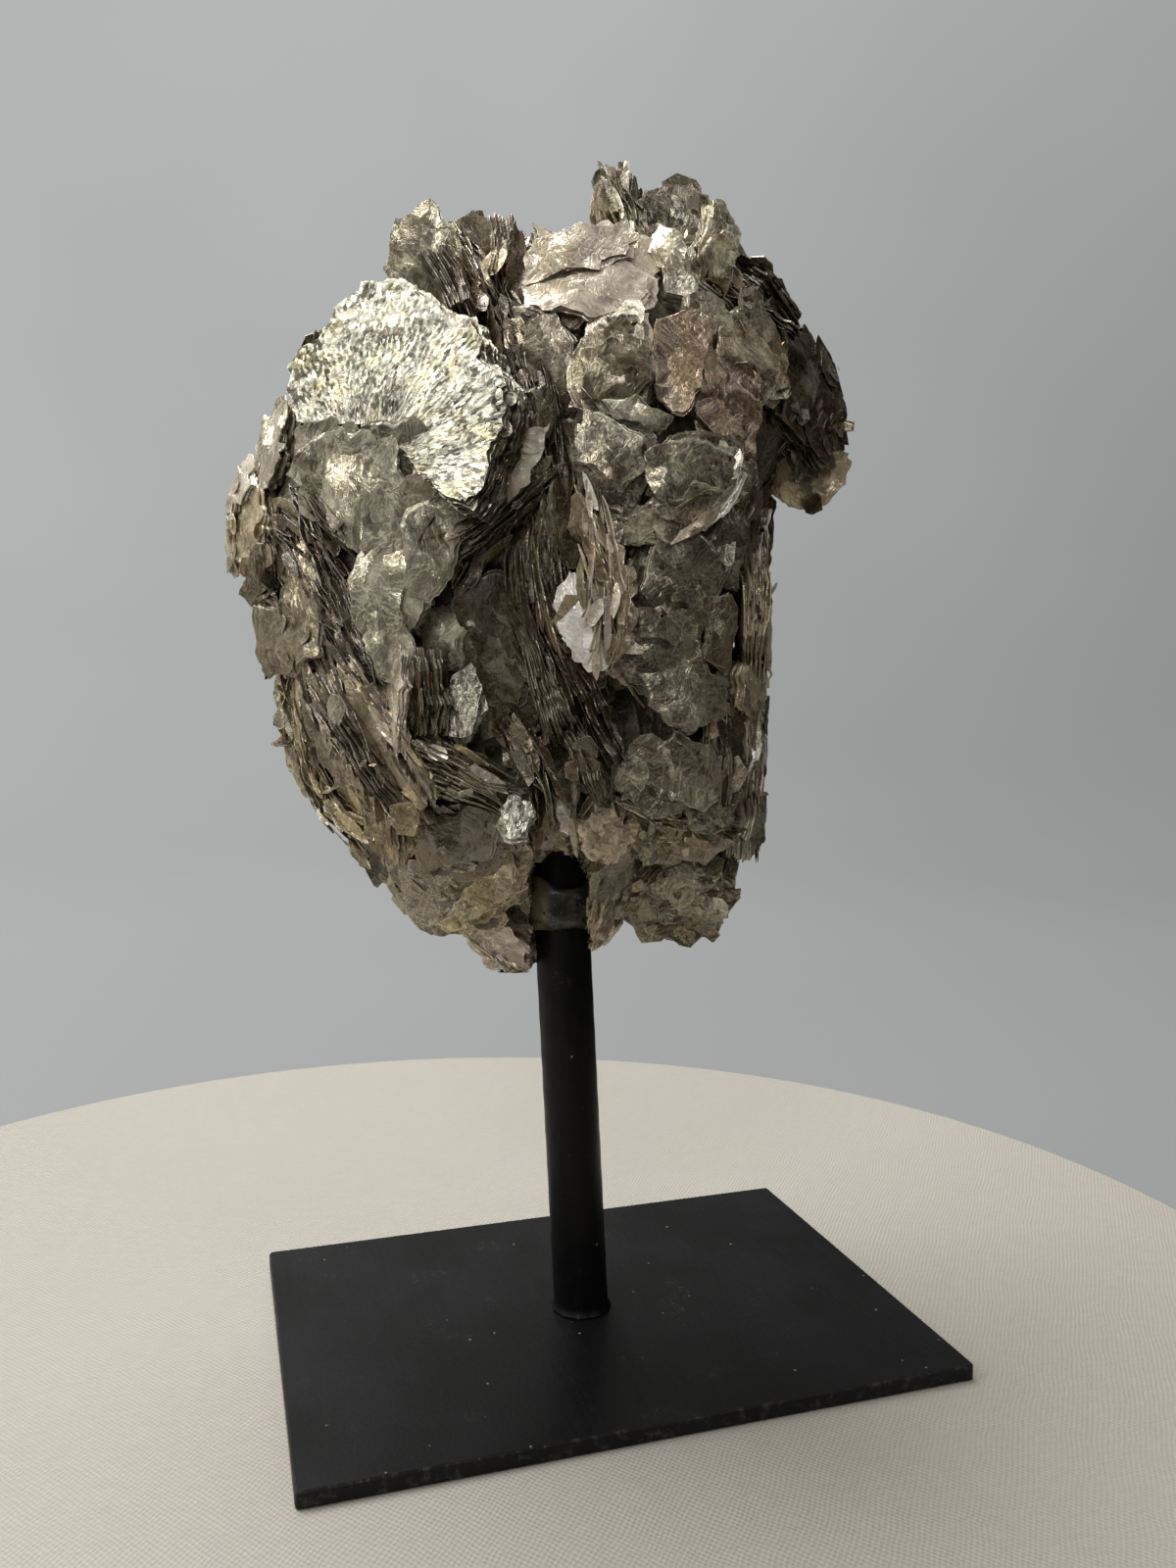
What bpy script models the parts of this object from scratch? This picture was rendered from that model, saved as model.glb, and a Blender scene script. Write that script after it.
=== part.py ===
"""A cluster of mica books on a black steel stand: the specimen, its post, the glue that holds it and the base plate.

Metres, +Z up, origin at the centre of the plate's underside. The specimen is modelled in its own frame, X to its
right, Y to its back, turned on the plate by SPECIMEN_TURN, and its tables are in millimetres.
"""

import math
import random

import bmesh
import bpy
from mathutils import Matrix, Vector

MM = 0.001

# Driving dimensions of the stand, in metres
PLATE_WIDTH = 0.112
PLATE_DEPTH = 0.080
PLATE_THICKNESS = 0.0028
PLATE_CORNER_RADIUS = 0.0008
PLATE_EDGE_BREAK = 0.0003
POST_DIAMETER = 0.010
POST_LENGTH = 0.100
POST_SIDES = 32
POST_EDGE_BREAK = 0.0004
POST_FOOT = (-0.0016, -0.0006)  # where the post stands on the plate
POST_LEAN = math.radians(2.8)  # the post was fixed a little out of square, to the left
WELD_WIDTH = 0.0006
WELD_HEIGHT = 0.0012
GAP = 0.0003  # clearance between touching pieces

# The glue collar, measured along the post from the plate's top
GLUE_BOTTOM = 0.0715
GLUE_TOP = 0.0785
GLUE_LIP = 0.0005  # how thick its edges are
GLUE_SHOULDER = 0.0020
GLUE_BULGE = 0.0008
GLUE_WAVE = 0.00015
GLUE_GLOB_SWELL = 0.0015
GLUE_GLOB_CLIMB = 0.0032
GLUE_LUMP_SWELL = 0.0006
GLUE_LUMP_CLIMB = 0.0026
GLUE_GLOB_ANGLE = math.radians(-12)  # where it ran out to the right, and climbed
GLUE_LUMP_ANGLE = math.radians(205)  # and to the left

# The notch in the mica, in front of the post, in mm: its outline across the front and its depth
NOTCH = (
    (-11, 55), (1.8, 55), (2.2, 76), (1.4, 80), (0.6, 84), (-1.2, 87), (-3, 88.6), (-5, 87.6), (-7, 88.8), (-8.6, 86.5),
    (-10.4, 84), (-10.8, 78),
)
NOTCH_FRONT = -45
NOTCH_BACK = -2.5
SOCKET_RADIUS = 0.5 * POST_DIAMETER + GAP

# The specimen
SPECIMEN_TURN = math.radians(-17.4)
SHEET_SIDES = 6
CHIP_SIDES = 5  # for the books under CHIP_SIZE across
CHIP_SIZE = 7
SHEET_ROOT = 0.86  # how far a book narrows towards its root
LEDGE_SHARE = (0.78, 0.9)  # how much of a book its outer ledge covers
CORE_SIDES = 12

# The body that the books grow from: height, then its left, right, front and back extents, in mm
CORE_LEVELS = (
    (76, -22, 17, -7, 13),
    (83, -31, 23, -11, 20),
    (95, -41, 26, -16, 26),
    (109, -48, 27, -19, 29),
    (122, -52, 27, -20, 31),
    (136, -56, 28, -22, 32),
    (150, -57, 33, -23, 32),
    (161, -52, 40, -22, 31),
    (171, -47, 40, -19, 29),
    (181, -39, 35, -14, 26),
    (189, -30, 27, -8, 21),
    (197, -22, 20, -2, 13),
)
CORE_LOPSIDED = 0.06  # how unevenly the body's facets stand

# A book is a stack of mica sheets that grew together. at is the centre of its outer face, in mm. Its face looks
# along yaw (0 to the front, 90 to the right) and pitch (90 up). spin turns it in its own plane. size is its width
# and height there, thick its depth, and steps the number of ledges that its broken sheets leave.
FRONT_BOOKS = (
    # name, at, yaw, pitch, spin, size, thick, steps
    ("silver_plate", (-31.7, -23.7, 164.4), -28, 18, 0, (48, 45), 6, 1),
    ("crown_flake", (-27, -6, 190), -10, -4, 0, (12, 17), 3.5, 2),
    ("crown_blade", (-18.8, -4, 191), 28, 0, 0, (7, 22), 3, 1),
    ("crown_ribs", (-18.5, -12, 181), 80, 19, 0, (18, 24), 4, 2),
    ("spike", (-12.3, -9, 189), 78, -8, 0, (10, 16), 3, 1),
    ("pink_ledge_low", (1.9, -15.8, 187.3), 4, 22, 0, (24, 15), 4.5, 2),
    ("pink_ledge_high", (-0.3, -12.8, 191.8), 2, 28, 0, (19, 10), 4, 1),
    ("pink_chip_left", (-3, -20, 178), -5, -6, 0, (9, 5), 3, 1),
    ("pink_chip_right", (6, -20.5, 175), 10, 12, -12, (12, 7), 3, 1),
    ("grey_panel", (-8.5, -20.5, 173), -14, 0, 5, (11, 16), 3.5, 2),
    ("grey_panel_low", (-5, -22, 165), -10, -6, 0, (8, 13), 3, 1),
    ("tuft", (6, -4, 200.5), 40, 0, -4, (8, 17), 4, 1),
    ("tuft_chip", (9, -2, 203), 68, 0, -6, (6, 9), 2, 1),
    ("crown_right", (16.1, -5.7, 198.1), 10, 8, 0, (14, 14), 5, 2),
    ("crown_right_edge", (22.5, -8, 192.5), 32, 4, -8, (10, 17), 5, 1),
    ("crown_right_chip", (22.5, -12, 189), 18, -4, 0, (6, 10), 6, 1),
    ("mirror_chip_high", (12.7, -14.5, 190.5), -12, 24, 10, (8, 8), 3, 1),
    ("mirror_chip_low", (15.3, -17.5, 184), 6, 6, 8, (6, 10), 3, 1),
    ("shoulder_crest", (27, -1, 193), 50, 24, 0, (12, 10), 5, 1),
    ("shoulder_ridge", (32, 4, 188.5), 90, 54, 0, (24, 17), 5, 2),
    ("shoulder_shelf", (30, -1, 183), 88, 62, 4, (26, 17), 4, 1),
    ("olive_strip", (22, -20, 174.5), 16, 12, 26, (8, 18), 3, 1),
    ("rose_plate", (15.4, -24.9, 168.7), 6, 6, 0, (11, 18), 3.5, 2),
    ("rose_plate_low", (22.2, -23.5, 162.2), 14, 3, 0, (12, 19), 3.5, 2),
    ("right_olive", (29.5, -16, 173), 36, 12, 12, (12, 18), 4, 2),
    ("dark_shoulder", (40, -6.4, 168), 50, 12, 0, (20, 26), 7, 2),
    ("dark_shoulder_low", (42.5, -4, 159), 56, -14, 0, (15, 16), 6, 2),
    ("olive_lobe", (39.6, -4.6, 153.6), 10, -24, 0, (12, 12), 5, 1),
    ("olive_face", (4, -27, 166), -4, 4, 0, (13, 18), 4, 2),
    ("grey_tongue", (8.5, -29.3, 159), 0, -5, 76, (6, 11), 2, 1),
    ("smoky_face", (4.1, -28, 150.5), -7, -8, 0, (13, 17), 4, 2),
    ("smoky_oval", (16.9, -29.8, 150.2), 6, -6, 0, (17, 14), 4, 2),
    ("smoky_shelf", (17.5, -29.5, 145.5), 12, -38, 20, (15, 6), 3, 1),
    ("scallop", (10, -28, 142), 0, -20, 0, (12, 8), 3, 1),
    ("under_brow", (24, -21, 146.5), 26, -10, 0, (11, 15), 6, 1),
    ("hanging_flake", (23, -23, 139), 20, -9, 6, (7, 13), 6, 1),
    ("right_column", (10, -23, 134.5), 0, -4, 0, (13, 13), 4, 1),
    ("tan_flake_long", (17.2, -24.2, 129), 16, 0, 2, (5, 19), 2.5, 1),
    ("tan_flake", (21.5, -24.6, 125.5), 26, -4, -4, (6, 13), 2.5, 1),
    ("right_grey_face", (11.5, -26, 121.8), 8, -8, -34, (17, 15), 4.5, 2),
    ("right_wall", (31.8, -2, 131), 84, -1, 0, (36, 38), 5, 2),
    ("right_wall_low", (31.6, -1, 102), 80, -2, 0, (34, 31), 5, 2),
    ("wall_chip", (27.6, -18.5, 117.5), 50, 0, 14, (7, 10), 6, 1),
    ("wall_chip_low", (29.2, -14.5, 93.5), 60, -8, -12, (7, 13), 5, 1),
    ("wall_ribs", (24.5, -21, 108), 62, 6, -6, (10, 20), 5, 2),
    ("pale_block", (-2, -29, 127), -15, 0, 20, (8, 15), 5, 1),
    ("cream_column", (4.3, -29.4, 130.5), 24, 2, -2, (8, 21), 5, 2),
    ("column_flake", (1, -27, 146), 32, 2, -4, (6, 14), 4, 1),
    ("column_ribs", (-3, -25.5, 144), 52, 4, 0, (8, 15), 4, 1),
    ("seam_ribs_high", (-7.3, -24, 138), 66, 2, 0, (9, 22), 5, 2),
    ("seam_ribs", (-4.3, -25, 120), 75, 24, 0, (9, 23), 5, 2),
    ("seam_ribs_low", (2.6, -24, 105), 78, 18, 0, (9, 17), 4, 1),
    ("leaf_roll", (-11.3, -32, 151), 15, -6, -43, (6.5, 16), 4, 1),
    ("leaf_chip", (-6.6, -28, 160), 42, 0, 8, (5, 8), 3, 1),
    ("lobe_rim", (-14, -25, 141), 92, -52, 0, (15, 20), 5, 2),
    ("brown_face", (-16, -22.5, 130), -5, -12, 0, (16, 18), 4, 2),
    ("brown_face_low", (-12.3, -22.5, 116.5), 5, -8, 8, (16, 18), 4, 2),
    ("sparkle_panel", (-23.4, -24.5, 125), -25, -5, 0, (8, 12), 4, 1),
    ("sparkle_streak", (-21, -24, 113.5), -10, 14, -14, (7, 12), 3, 1),
    ("curved_strip", (-31.5, -26, 117), -56, 4, 6, (8, 20), 2, 1),
    ("brown_ribs", (-28, -25.5, 116), -70, 0, 0, (11, 17), 4, 1),
    ("glass_panel", (-30.2, -27.2, 137.1), -12, -3, 0, (12, 24), 4.5, 2),
    ("glass_panel_right", (-24.1, -29.5, 142.7), -4, -10, 0, (13, 15), 4.5, 2),
    ("glass_panel_left", (-43.5, -20, 153.5), -22, -5, 0, (14, 14), 5, 2),
    ("glass_lens", (-36.5, -24, 153), -14, -10, 0, (10, 11), 4, 1),
    ("shade_ribs", (-42, -18.5, 142), -88, -44, 0, (15, 17), 6, 2),
    ("left_sheet", (-49.5, -13, 134.5), -42, 4, 13, (11, 27), 4, 2),
    ("left_sheet_low", (-44.5, -16, 118), -46, 0, 18, (9, 23), 4, 1),
    ("cream_knob", (-62.5, -2, 153), -50, 14, 0, (12, 11), 6, 1),
    ("left_fringe", (-59.3, -6, 144.5), -46, 0, 4, (12, 19), 4, 2),
    ("left_fringe_tip", (-65, 1, 144), -66, -4, 8, (11, 15), 5, 1),
    ("left_tongue", (-58.5, -7, 137), -32, -18, -34, (6, 13), 4, 1),
    ("left_knob", (-56, -6, 159), -50, 12, 0, (12, 17), 6, 2),
    ("brown_shield", (-55, -9, 125.5), -40, -12, 0, (13, 14.5), 4, 1),
    ("left_wall", (-53, -3, 109.5), -62, -9, 0, (16, 28), 5, 2),
    ("ruffle", (-52.5, -3, 104), -52, -20, 0, (8, 9), 5, 1),
    ("left_wall_sheet", (-43.5, -14.5, 107), -38, -14, 18, (10, 26), 4, 1),
    ("left_wall_foot", (-44, -8, 97), -36, -30, 0, (12, 12), 6, 1),
    ("long_tongue", (-33.5, -24, 108), 80, 33, 0, (14, 28), 5, 2),
    ("tongue_tip", (-27.2, -24, 98.5), 82, 40, 0, (10, 9), 3.5, 1),
    ("short_tongue", (-20, -22, 103), 86, 61, 0, (12, 17), 4, 1),
    ("chevrons", (-34.2, -20.5, 96), -58, 0, 0, (9, 16), 5, 1),
    ("brown_glass", (-21, -20.4, 90.9), -6, -18, 0, (18, 14), 4.5, 2),
    ("lower_left_plate", (-28, -13.6, 81.8), -25, -30, 0, (15, 19), 5, 2),
    ("skirt_sheet", (-16.6, -15.7, 82.8), 0, -20, 0, (10, 19), 3.5, 1),
    ("fan", (-15.4, -6, 73), -12, -28, 42, (8.5, 19), 6, 2),
    ("silver_coin", (-12, -24.6, 96), -8, 12, 0, (6.4, 6.8), 2, 1),
    ("honey_lump", (3, -21.5, 93), 0, -12, 0, (10, 11), 5, 1),
    ("rose_lump", (10, -20.5, 93.5), 16, -12, 0, (8, 9), 4, 1),
    ("white_tab", (-3.5, -23.6, 98), -6, 0, 4, (4.5, 12), 2.5, 1),
    ("bottom_ribs", (-7.2, -21.5, 100), 62, 0, 0, (7, 17), 4, 1),
    ("centre_brow", (0, -22, 106.5), 0, -5, 0, (12, 14), 4, 1),
    ("jade_plate", (11, -24.5, 102), 2, -6, -28, (14, 11), 3.5, 1),
    ("jade_plate_right", (20, -22.8, 101), 12, -4, 6, (12, 16), 4, 2),
    ("under_jade", (16, -19, 91.5), 8, -20, 0, (18, 10), 5, 2),
    ("lobe_face", (17, -13.5, 82.5), 6, -15, 12, (13, 13), 4, 1),
    ("lobe", (16.6, -7.3, 77.9), 5, -25, 0, (19, 17), 9, 2),
    ("lobe_side", (25.2, 0, 82), 74, -20, 0, (17, 15), 5, 1),
    ("post_cheek", (4.5, -6, 76), 58, -14, 0, (10, 14), 4, 1),
    ("post_cheek_left", (-13.5, -9, 80), -20, -24, 0, (8, 11), 5, 1),
)

# The books whose broken outlines are known, each about its middle, in mm in its own plane
OUTLINES = {
    "silver_plate": (
        (-11, 22.5), (-6, 22), (0.5, 19.5), (4.5, 17), (9.5, 13), (13, 12), (17, 6.5), (22.5, -1), (24, -7),
        (22, -18.5), (20, -22.5), (16, -21), (9, -15.5), (3, -10), (-5.5, -6.5), (-14.5, -4.5), (-20, -2),
        (-23.5, 3.5), (-24, 8), (-22, 11.5), (-17.5, 11.5), (-15.5, 18),
    ),
    "crown_flake": ((-5.5, 6), (-3.5, 8.5), (-0.5, 7), (3.5, 8), (6, 3), (5.5, -5), (4, -9), (-4, -8), (-6, 1.5)),
    "crown_blade": ((-3.5, 8), (-1, 9.5), (1.5, 8.5), (3.5, 5.5), (3.5, -2.5), (2, -9.5), (-2, -8), (-3, 2)),
    "pink_ledge_high": ((-9.5, 4), (-6, 2), (0.5, 4), (9.5, 3.5), (7.5, 0.5), (3.5, -1.5), (-4.5, -4), (-8, -2.5)),
    "pink_ledge_low": ((-11.5, 3), (2.5, 7), (9.5, 5.5), (11.5, 1), (10, -3), (6, -5), (-3.5, -6), (-10.5, -2.5)),
    "rose_plate": ((-4, 6.5), (0.5, 9), (4.5, 8), (5, 4.5), (4, -0.5), (3.5, -5), (1, -9), (-3, -8), (-5, -4)),
    "rose_plate_low": ((-3.5, 7), (2.5, 8), (6, 4.5), (6.5, 0), (2, -8), (-2, -5), (-6.5, -2), (-4, 1.5)),
    "smoky_face": ((-6, 8), (0, 8.5), (6, 6.5), (7, 0), (3, -6), (-0.5, -8.5), (-5, -5.5), (-6.5, 0.5)),
    "smoky_oval": ((-7.5, 3), (-2.5, 6), (3.5, 6), (7.5, 3.5), (7, -1.5), (3, -5.5), (-3, -6), (-7.5, -3.5)),
    "crown_right": ((-8, 2.5), (-6, 5), (-3, 7), (0.5, 7), (5.5, 5), (8, 1), (6, -6), (1, -8), (-7.5, -3)),
    "glass_panel": ((-5, 11), (-0.5, 12), (4, 8.5), (6, 3.5), (6, -3), (4.5, -8.5), (1, -12), (-3, -12), (-6, 3.5)),
    "glass_panel_right": ((-7, 5), (-2, 8), (4, 3), (7.5, 1.5), (4.5, -2.5), (1, -7.5), (-3.5, -8), (-7.5, -5)),
    "lower_left_plate": ((-7, 6), (0, 10.5), (5.5, 7), (8.5, 0.5), (5.5, -6.5), (1, -10.5), (-2.5, -9.5), (-8.5, -0.5)),
    "skirt_sheet": ((-7.5, 0.5), (-2.5, 5.5), (3.5, 9), (7.5, 8.5), (6.5, 2.5), (3, -4), (-2, -8), (-7.5, -9)),
    "brown_glass": ((-9, 4), (-3, 7), (3, 7.5), (7.5, 4), (9, -1), (6, -6.5), (0, -7.5), (-5.5, -6), (-8.5, -1.5)),
    "lobe": ((-10, 0.5), (-7.5, 6.5), (-2, 8.5), (5, 7.5), (10, 3.5), (8.5, -2), (6.5, -6.5), (1, -8.5), (-8, -4.5)),
    "dark_shoulder": ((-7.5, 11), (-0.5, 13.5), (7, 12), (12, 8.5), (11.5, 1.5), (8, -8.5), (-0.5, -13.5), (-12, -6)),
    "olive_lobe": ((-7, 2.5), (-3, 5.5), (2.5, 5), (7, 3.5), (6.5, -0.5), (3.5, -4.5), (-1.5, -5.5), (-5.5, -3.5)),
}

# The rest of the specimen is grown by rule: small books between the front ones, and large ones over the sides and
# the back
RULE_SEED = 10
FRONT_RULE_BOOKS = 20
BACK_RULE_BOOKS = 42
FRONT_RULE_SIZE = (9, 15)
BACK_RULE_SIZE = (18, 31)
FRONT_RULE_THICK = (3, 5)
BACK_RULE_THICK = (6.5, 10)
FRONT_RULE_PROUD = 1.0
BACK_RULE_PROUD = 2.4
RULE_TILT = 24
RULE_TAPER = 0.4  # how much smaller the books get towards the top and bottom
RULE_CROWD = 0.5  # how much closer together they stand there
GOLDEN_ANGLE = math.pi * (3 - math.sqrt(5))


def clear_scene():
    for old in list(bpy.data.objects):
        bpy.data.objects.remove(old, do_unlink=True)


def new_collection(name, hidden=False):
    made = bpy.data.collections.new(name)
    made.hide_render = hidden
    bpy.context.scene.collection.children.link(made)
    return made


def new_object(name, bm, collection):
    """An object of its own from a bmesh, which is freed."""
    mesh = bpy.data.meshes.new(name)
    bm.to_mesh(mesh)
    bm.free()
    made = bpy.data.objects.new(name, mesh)
    collection.objects.link(made)
    return made


def finish(obj, name, colour, roughness, metallic=0.0):
    """Gives the object its own material."""
    material = bpy.data.materials.new(name)
    material.use_nodes = True
    shader = material.node_tree.nodes["Principled BSDF"]
    shader.inputs["Base Color"].default_value = (*colour, 1.0)
    shader.inputs["Roughness"].default_value = roughness
    shader.inputs["Metallic"].default_value = metallic
    obj.data.materials.clear()
    obj.data.materials.append(material)


def cutter(obj):
    obj.hide_render = True
    obj.display_type = "WIRE"
    return obj


def add_boolean(obj, operation, other):
    """A Boolean with one object, or with every object of a collection."""
    modifier = obj.modifiers.new(operation.title(), "BOOLEAN")
    modifier.operation = operation
    modifier.solver = "EXACT"
    if isinstance(other, bpy.types.Collection):
        modifier.operand_type = "COLLECTION"
        modifier.collection = other
    else:
        modifier.object = other


# ---------------------------------------------------------------- the specimen


def place_on_stand(bm):
    """Turns a mesh from the specimen's frame to the plate's."""
    bm.transform(Matrix.Rotation(SPECIMEN_TURN, 4, "Z"))


def sheet_axes(yaw, pitch, spin):
    """Right, up and outward directions of a book's sheets, from its angles in degrees."""
    yaw, pitch, spin = (math.radians(a) for a in (yaw, pitch, spin))
    outward = Vector((math.sin(yaw) * math.cos(pitch), -math.cos(yaw) * math.cos(pitch), math.sin(pitch)))
    right = Vector((math.cos(yaw), math.sin(yaw), 0.0))
    turn = Matrix.Rotation(spin, 3, outward)
    return turn @ right, turn @ outward.cross(right), outward


def sheet_outline(name, size):
    """The broken outline of a book's sheets: corners about an ellipse, some of them snapped off."""
    if name in OUTLINES:
        return list(OUTLINES[name])
    rng = random.Random(name)
    sides = SHEET_SIDES if min(size) > CHIP_SIZE else CHIP_SIDES
    corners = []
    for i in range(sides):
        angle = math.tau * (i + rng.uniform(-0.28, 0.28)) / sides
        reach = rng.uniform(0.94, 1.24)
        corners.append((0.5 * size[0] * reach * math.cos(angle), 0.5 * size[1] * reach * math.sin(angle)))
    return corners


def book_rings(name, size, thick, steps):
    """The outlines of a book from its face to its root, each with its depth, in mm."""
    rng = random.Random(name + " ledges")
    outline = sheet_outline(name, size)
    share = rng.uniform(*LEDGE_SHARE)
    slip = [0.35 * (1 - share) * rng.uniform(-1, 1) * across for across in size]
    ledge = [(u * share + slip[0], v * share + slip[1]) for u, v in outline]
    root = [(u * SHEET_ROOT, v * SHEET_ROOT) for u, v in outline]
    if steps == 1:
        return [(outline, 0.0), (root, thick)]
    return [(ledge, 0.0), (ledge, 0.25 * thick), (outline, 0.25 * thick), (root, thick)]


def book_mesh(name, at, yaw, pitch, spin, size, thick, steps):
    """A book as one closed stack of its rings."""
    right, up, outward = sheet_axes(yaw, pitch, spin)
    bm = bmesh.new()
    rings = []
    for outline, depth in book_rings(name, size, thick, steps):
        middle = Vector(at) - outward * depth
        rings.append([bm.verts.new((middle + right * u + up * v) * MM) for u, v in outline])
    for upper, lower in zip(rings, rings[1:]):
        for i in range(len(upper)):
            j = (i + 1) % len(upper)
            bm.faces.new((upper[j], upper[i], lower[i], lower[j]))
    bm.faces.new(rings[0])
    bm.faces.new(list(reversed(rings[-1])))
    place_on_stand(bm)
    return bm


def core_section(z):
    """Left, right, front and back extents of the body at a height, in mm, between its levels."""
    levels = CORE_LEVELS
    z = min(max(z, levels[0][0]), levels[-1][0])
    for low, high in zip(levels, levels[1:]):
        if z <= high[0]:
            share = (z - low[0]) / (high[0] - low[0])
            return [a + (b - a) * share for a, b in zip(low[1:], high[1:])]


def core_point(z, angle):
    """A point of the body's surface: angle 0 is to its right, 90 degrees to its back."""
    left, right, front, back = core_section(z)
    across, along = math.cos(angle), math.sin(angle)
    x = 0.5 * (left + right) + 0.5 * (right - left) * math.copysign(abs(across) ** 0.8, across)
    y = 0.5 * (front + back) + 0.5 * (back - front) * math.copysign(abs(along) ** 0.8, along)
    return Vector((x, y, z))


def build_core(collection):
    """The specimen's body, lofted through its levels with uneven facets."""
    rng = random.Random("core")
    bm = bmesh.new()
    rings = []
    for z, *_ in CORE_LEVELS:
        ring = []
        middle = sum((core_point(z, math.tau * i / CORE_SIDES) for i in range(CORE_SIDES)), Vector()) / CORE_SIDES
        for i in range(CORE_SIDES):
            point = core_point(z, math.tau * i / CORE_SIDES)
            ring.append(bm.verts.new((middle + (point - middle) * (1 + rng.uniform(-1, 1) * CORE_LOPSIDED)) * MM))
        rings.append(ring)
    for low, high in zip(rings, rings[1:]):
        for i in range(CORE_SIDES):
            j = (i + 1) % CORE_SIDES
            bm.faces.new((low[i], low[j], high[j], high[i]))
    bm.faces.new(list(reversed(rings[0])))
    bm.faces.new(rings[-1])
    bmesh.ops.triangulate(bm, faces=bm.faces)
    place_on_stand(bm)
    return new_object("mica_crystal", bm, collection)


def rule_books(name, count, first_angle, last_angle, size_range, thick_range, proud):
    """Books spread evenly over the body between two directions."""
    rng = random.Random(f"{name} {RULE_SEED}")
    bottom, top = CORE_LEVELS[0][0], CORE_LEVELS[-1][0]
    books = []
    for i in range(count):
        share = (i + 0.5) / count
        z = bottom + (top - bottom) * (share - RULE_CROWD * math.sin(math.tau * share) / math.tau)
        angle = math.radians(first_angle) + (i * GOLDEN_ANGLE) % math.radians(last_angle - first_angle)
        at = core_point(z, angle)
        left, right, front, back = core_section(z)
        outward = (at - Vector((0.5 * (left + right), 0.5 * (front + back), at.z))).normalized()
        rise = (z - 0.5 * (bottom + top)) / (0.5 * (top - bottom))
        yaw = math.degrees(math.atan2(outward.x, -outward.y)) + rng.uniform(-1, 1) * RULE_TILT
        pitch = 65 * rise**3 + rng.uniform(-1, 1) * RULE_TILT
        taper = 1 - RULE_TAPER * rise**4
        size = (rng.uniform(*size_range) * taper, rng.uniform(*size_range) * taper)
        at = at + outward * proud
        books.append((f"{name}_{i}", tuple(at), yaw, pitch, rng.uniform(0, 90), size, rng.uniform(*thick_range), 1))
    return books


def all_books():
    """Every book of the specimen."""
    back = rule_books("back", BACK_RULE_BOOKS, 4, 176, BACK_RULE_SIZE, BACK_RULE_THICK, BACK_RULE_PROUD)
    front = rule_books("front", FRONT_RULE_BOOKS, 190, 350, FRONT_RULE_SIZE, FRONT_RULE_THICK, FRONT_RULE_PROUD)
    return [*FRONT_BOOKS, *back, *front]


def build_socket(collection):
    """The cutters that let the post and the glue into the mica, and the notch that shows them at the front."""
    mouth, end = 0.5 * GLUE_BOTTOM, POST_LENGTH + GAP
    bore = tube([(mouth, 0), (mouth, SOCKET_RADIUS), (end, SOCKET_RADIUS), (end, 0)], POST_SIDES)
    cutter(new_object("bore", bore, collection))
    cutter(new_object("glue_seat", glue_mesh(GAP), collection))
    bm = bmesh.new()
    front = [bm.verts.new((x * MM, NOTCH_FRONT * MM, z * MM)) for x, z in NOTCH]
    back = [bm.verts.new((x * MM, NOTCH_BACK * MM, z * MM)) for x, z in NOTCH]
    bm.faces.new(front)
    bm.faces.new(list(reversed(back)))
    for i in range(len(NOTCH)):
        j = (i + 1) % len(NOTCH)
        bm.faces.new((front[j], front[i], back[i], back[j]))
    place_on_stand(bm)
    cutter(new_object("notch", bm, collection))


def build_specimen(model, books, socket):
    specimen = build_core(model)
    for book in all_books():
        cutter(new_object(book[0], book_mesh(*book), books))
    add_boolean(specimen, "UNION", books)
    build_socket(socket)
    add_boolean(specimen, "DIFFERENCE", socket)
    finish(specimen, "mica", (0.36, 0.32, 0.26), 0.32)


# ---------------------------------------------------------------- the stand


def post_axis(height):
    """A point of the leaning post's axis, at a height over the plate's top."""
    return Vector((POST_FOOT[0] - math.tan(POST_LEAN) * height, POST_FOOT[1], PLATE_THICKNESS + height))


def tube(profile, sides, swell=None):
    """A body turned about the post's axis from (height, radius) pairs, which may swell unevenly."""
    bm = bmesh.new()
    rings = []
    for step, (height, radius) in enumerate(profile):
        if radius == 0:
            rings.append([bm.verts.new(post_axis(height))])
            continue
        ring = []
        for i in range(sides):
            angle = math.tau * i / sides
            grow, lift = swell(step, angle) if swell else (0.0, 0.0)
            point = post_axis(height + lift)
            reach = radius + grow
            ring.append(bm.verts.new(point + Vector((math.cos(angle) * reach, math.sin(angle) * reach, 0))))
        rings.append(ring)
    pairs = list(zip(rings, rings[1:]))
    if len(rings[0]) > 1:
        pairs.append((rings[-1], rings[0]))
    for low, high in pairs:
        for i in range(sides):
            j = (i + 1) % sides
            corners = (low[i % len(low)], low[j % len(low)], high[j % len(high)], high[i % len(high)])
            bm.faces.new(tuple(dict.fromkeys(corners)))
    return bm


def build_plate(collection):
    """The base plate: a sheet with small round corners and broken edges."""
    bm = bmesh.new()
    bmesh.ops.create_cube(bm, size=1.0)
    bmesh.ops.scale(bm, vec=(PLATE_WIDTH, PLATE_DEPTH, PLATE_THICKNESS), verts=bm.verts)
    bmesh.ops.translate(bm, vec=(0, 0, 0.5 * PLATE_THICKNESS), verts=bm.verts)
    upright = [e for e in bm.edges if abs(e.verts[0].co.z - e.verts[1].co.z) > 0.5 * PLATE_THICKNESS]
    bmesh.ops.bevel(bm, geom=upright, offset=PLATE_CORNER_RADIUS, segments=3, profile=0.5, affect="EDGES")
    plate = new_object("base_plate", bm, collection)
    edge_break = plate.modifiers.new("Edge break", "BEVEL")
    edge_break.width = PLATE_EDGE_BREAK
    edge_break.segments = 1
    edge_break.limit_method = "ANGLE"
    edge_break.angle_limit = math.radians(60)
    finish(plate, "plate_paint", (0.02, 0.02, 0.021), 0.45)


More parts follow.
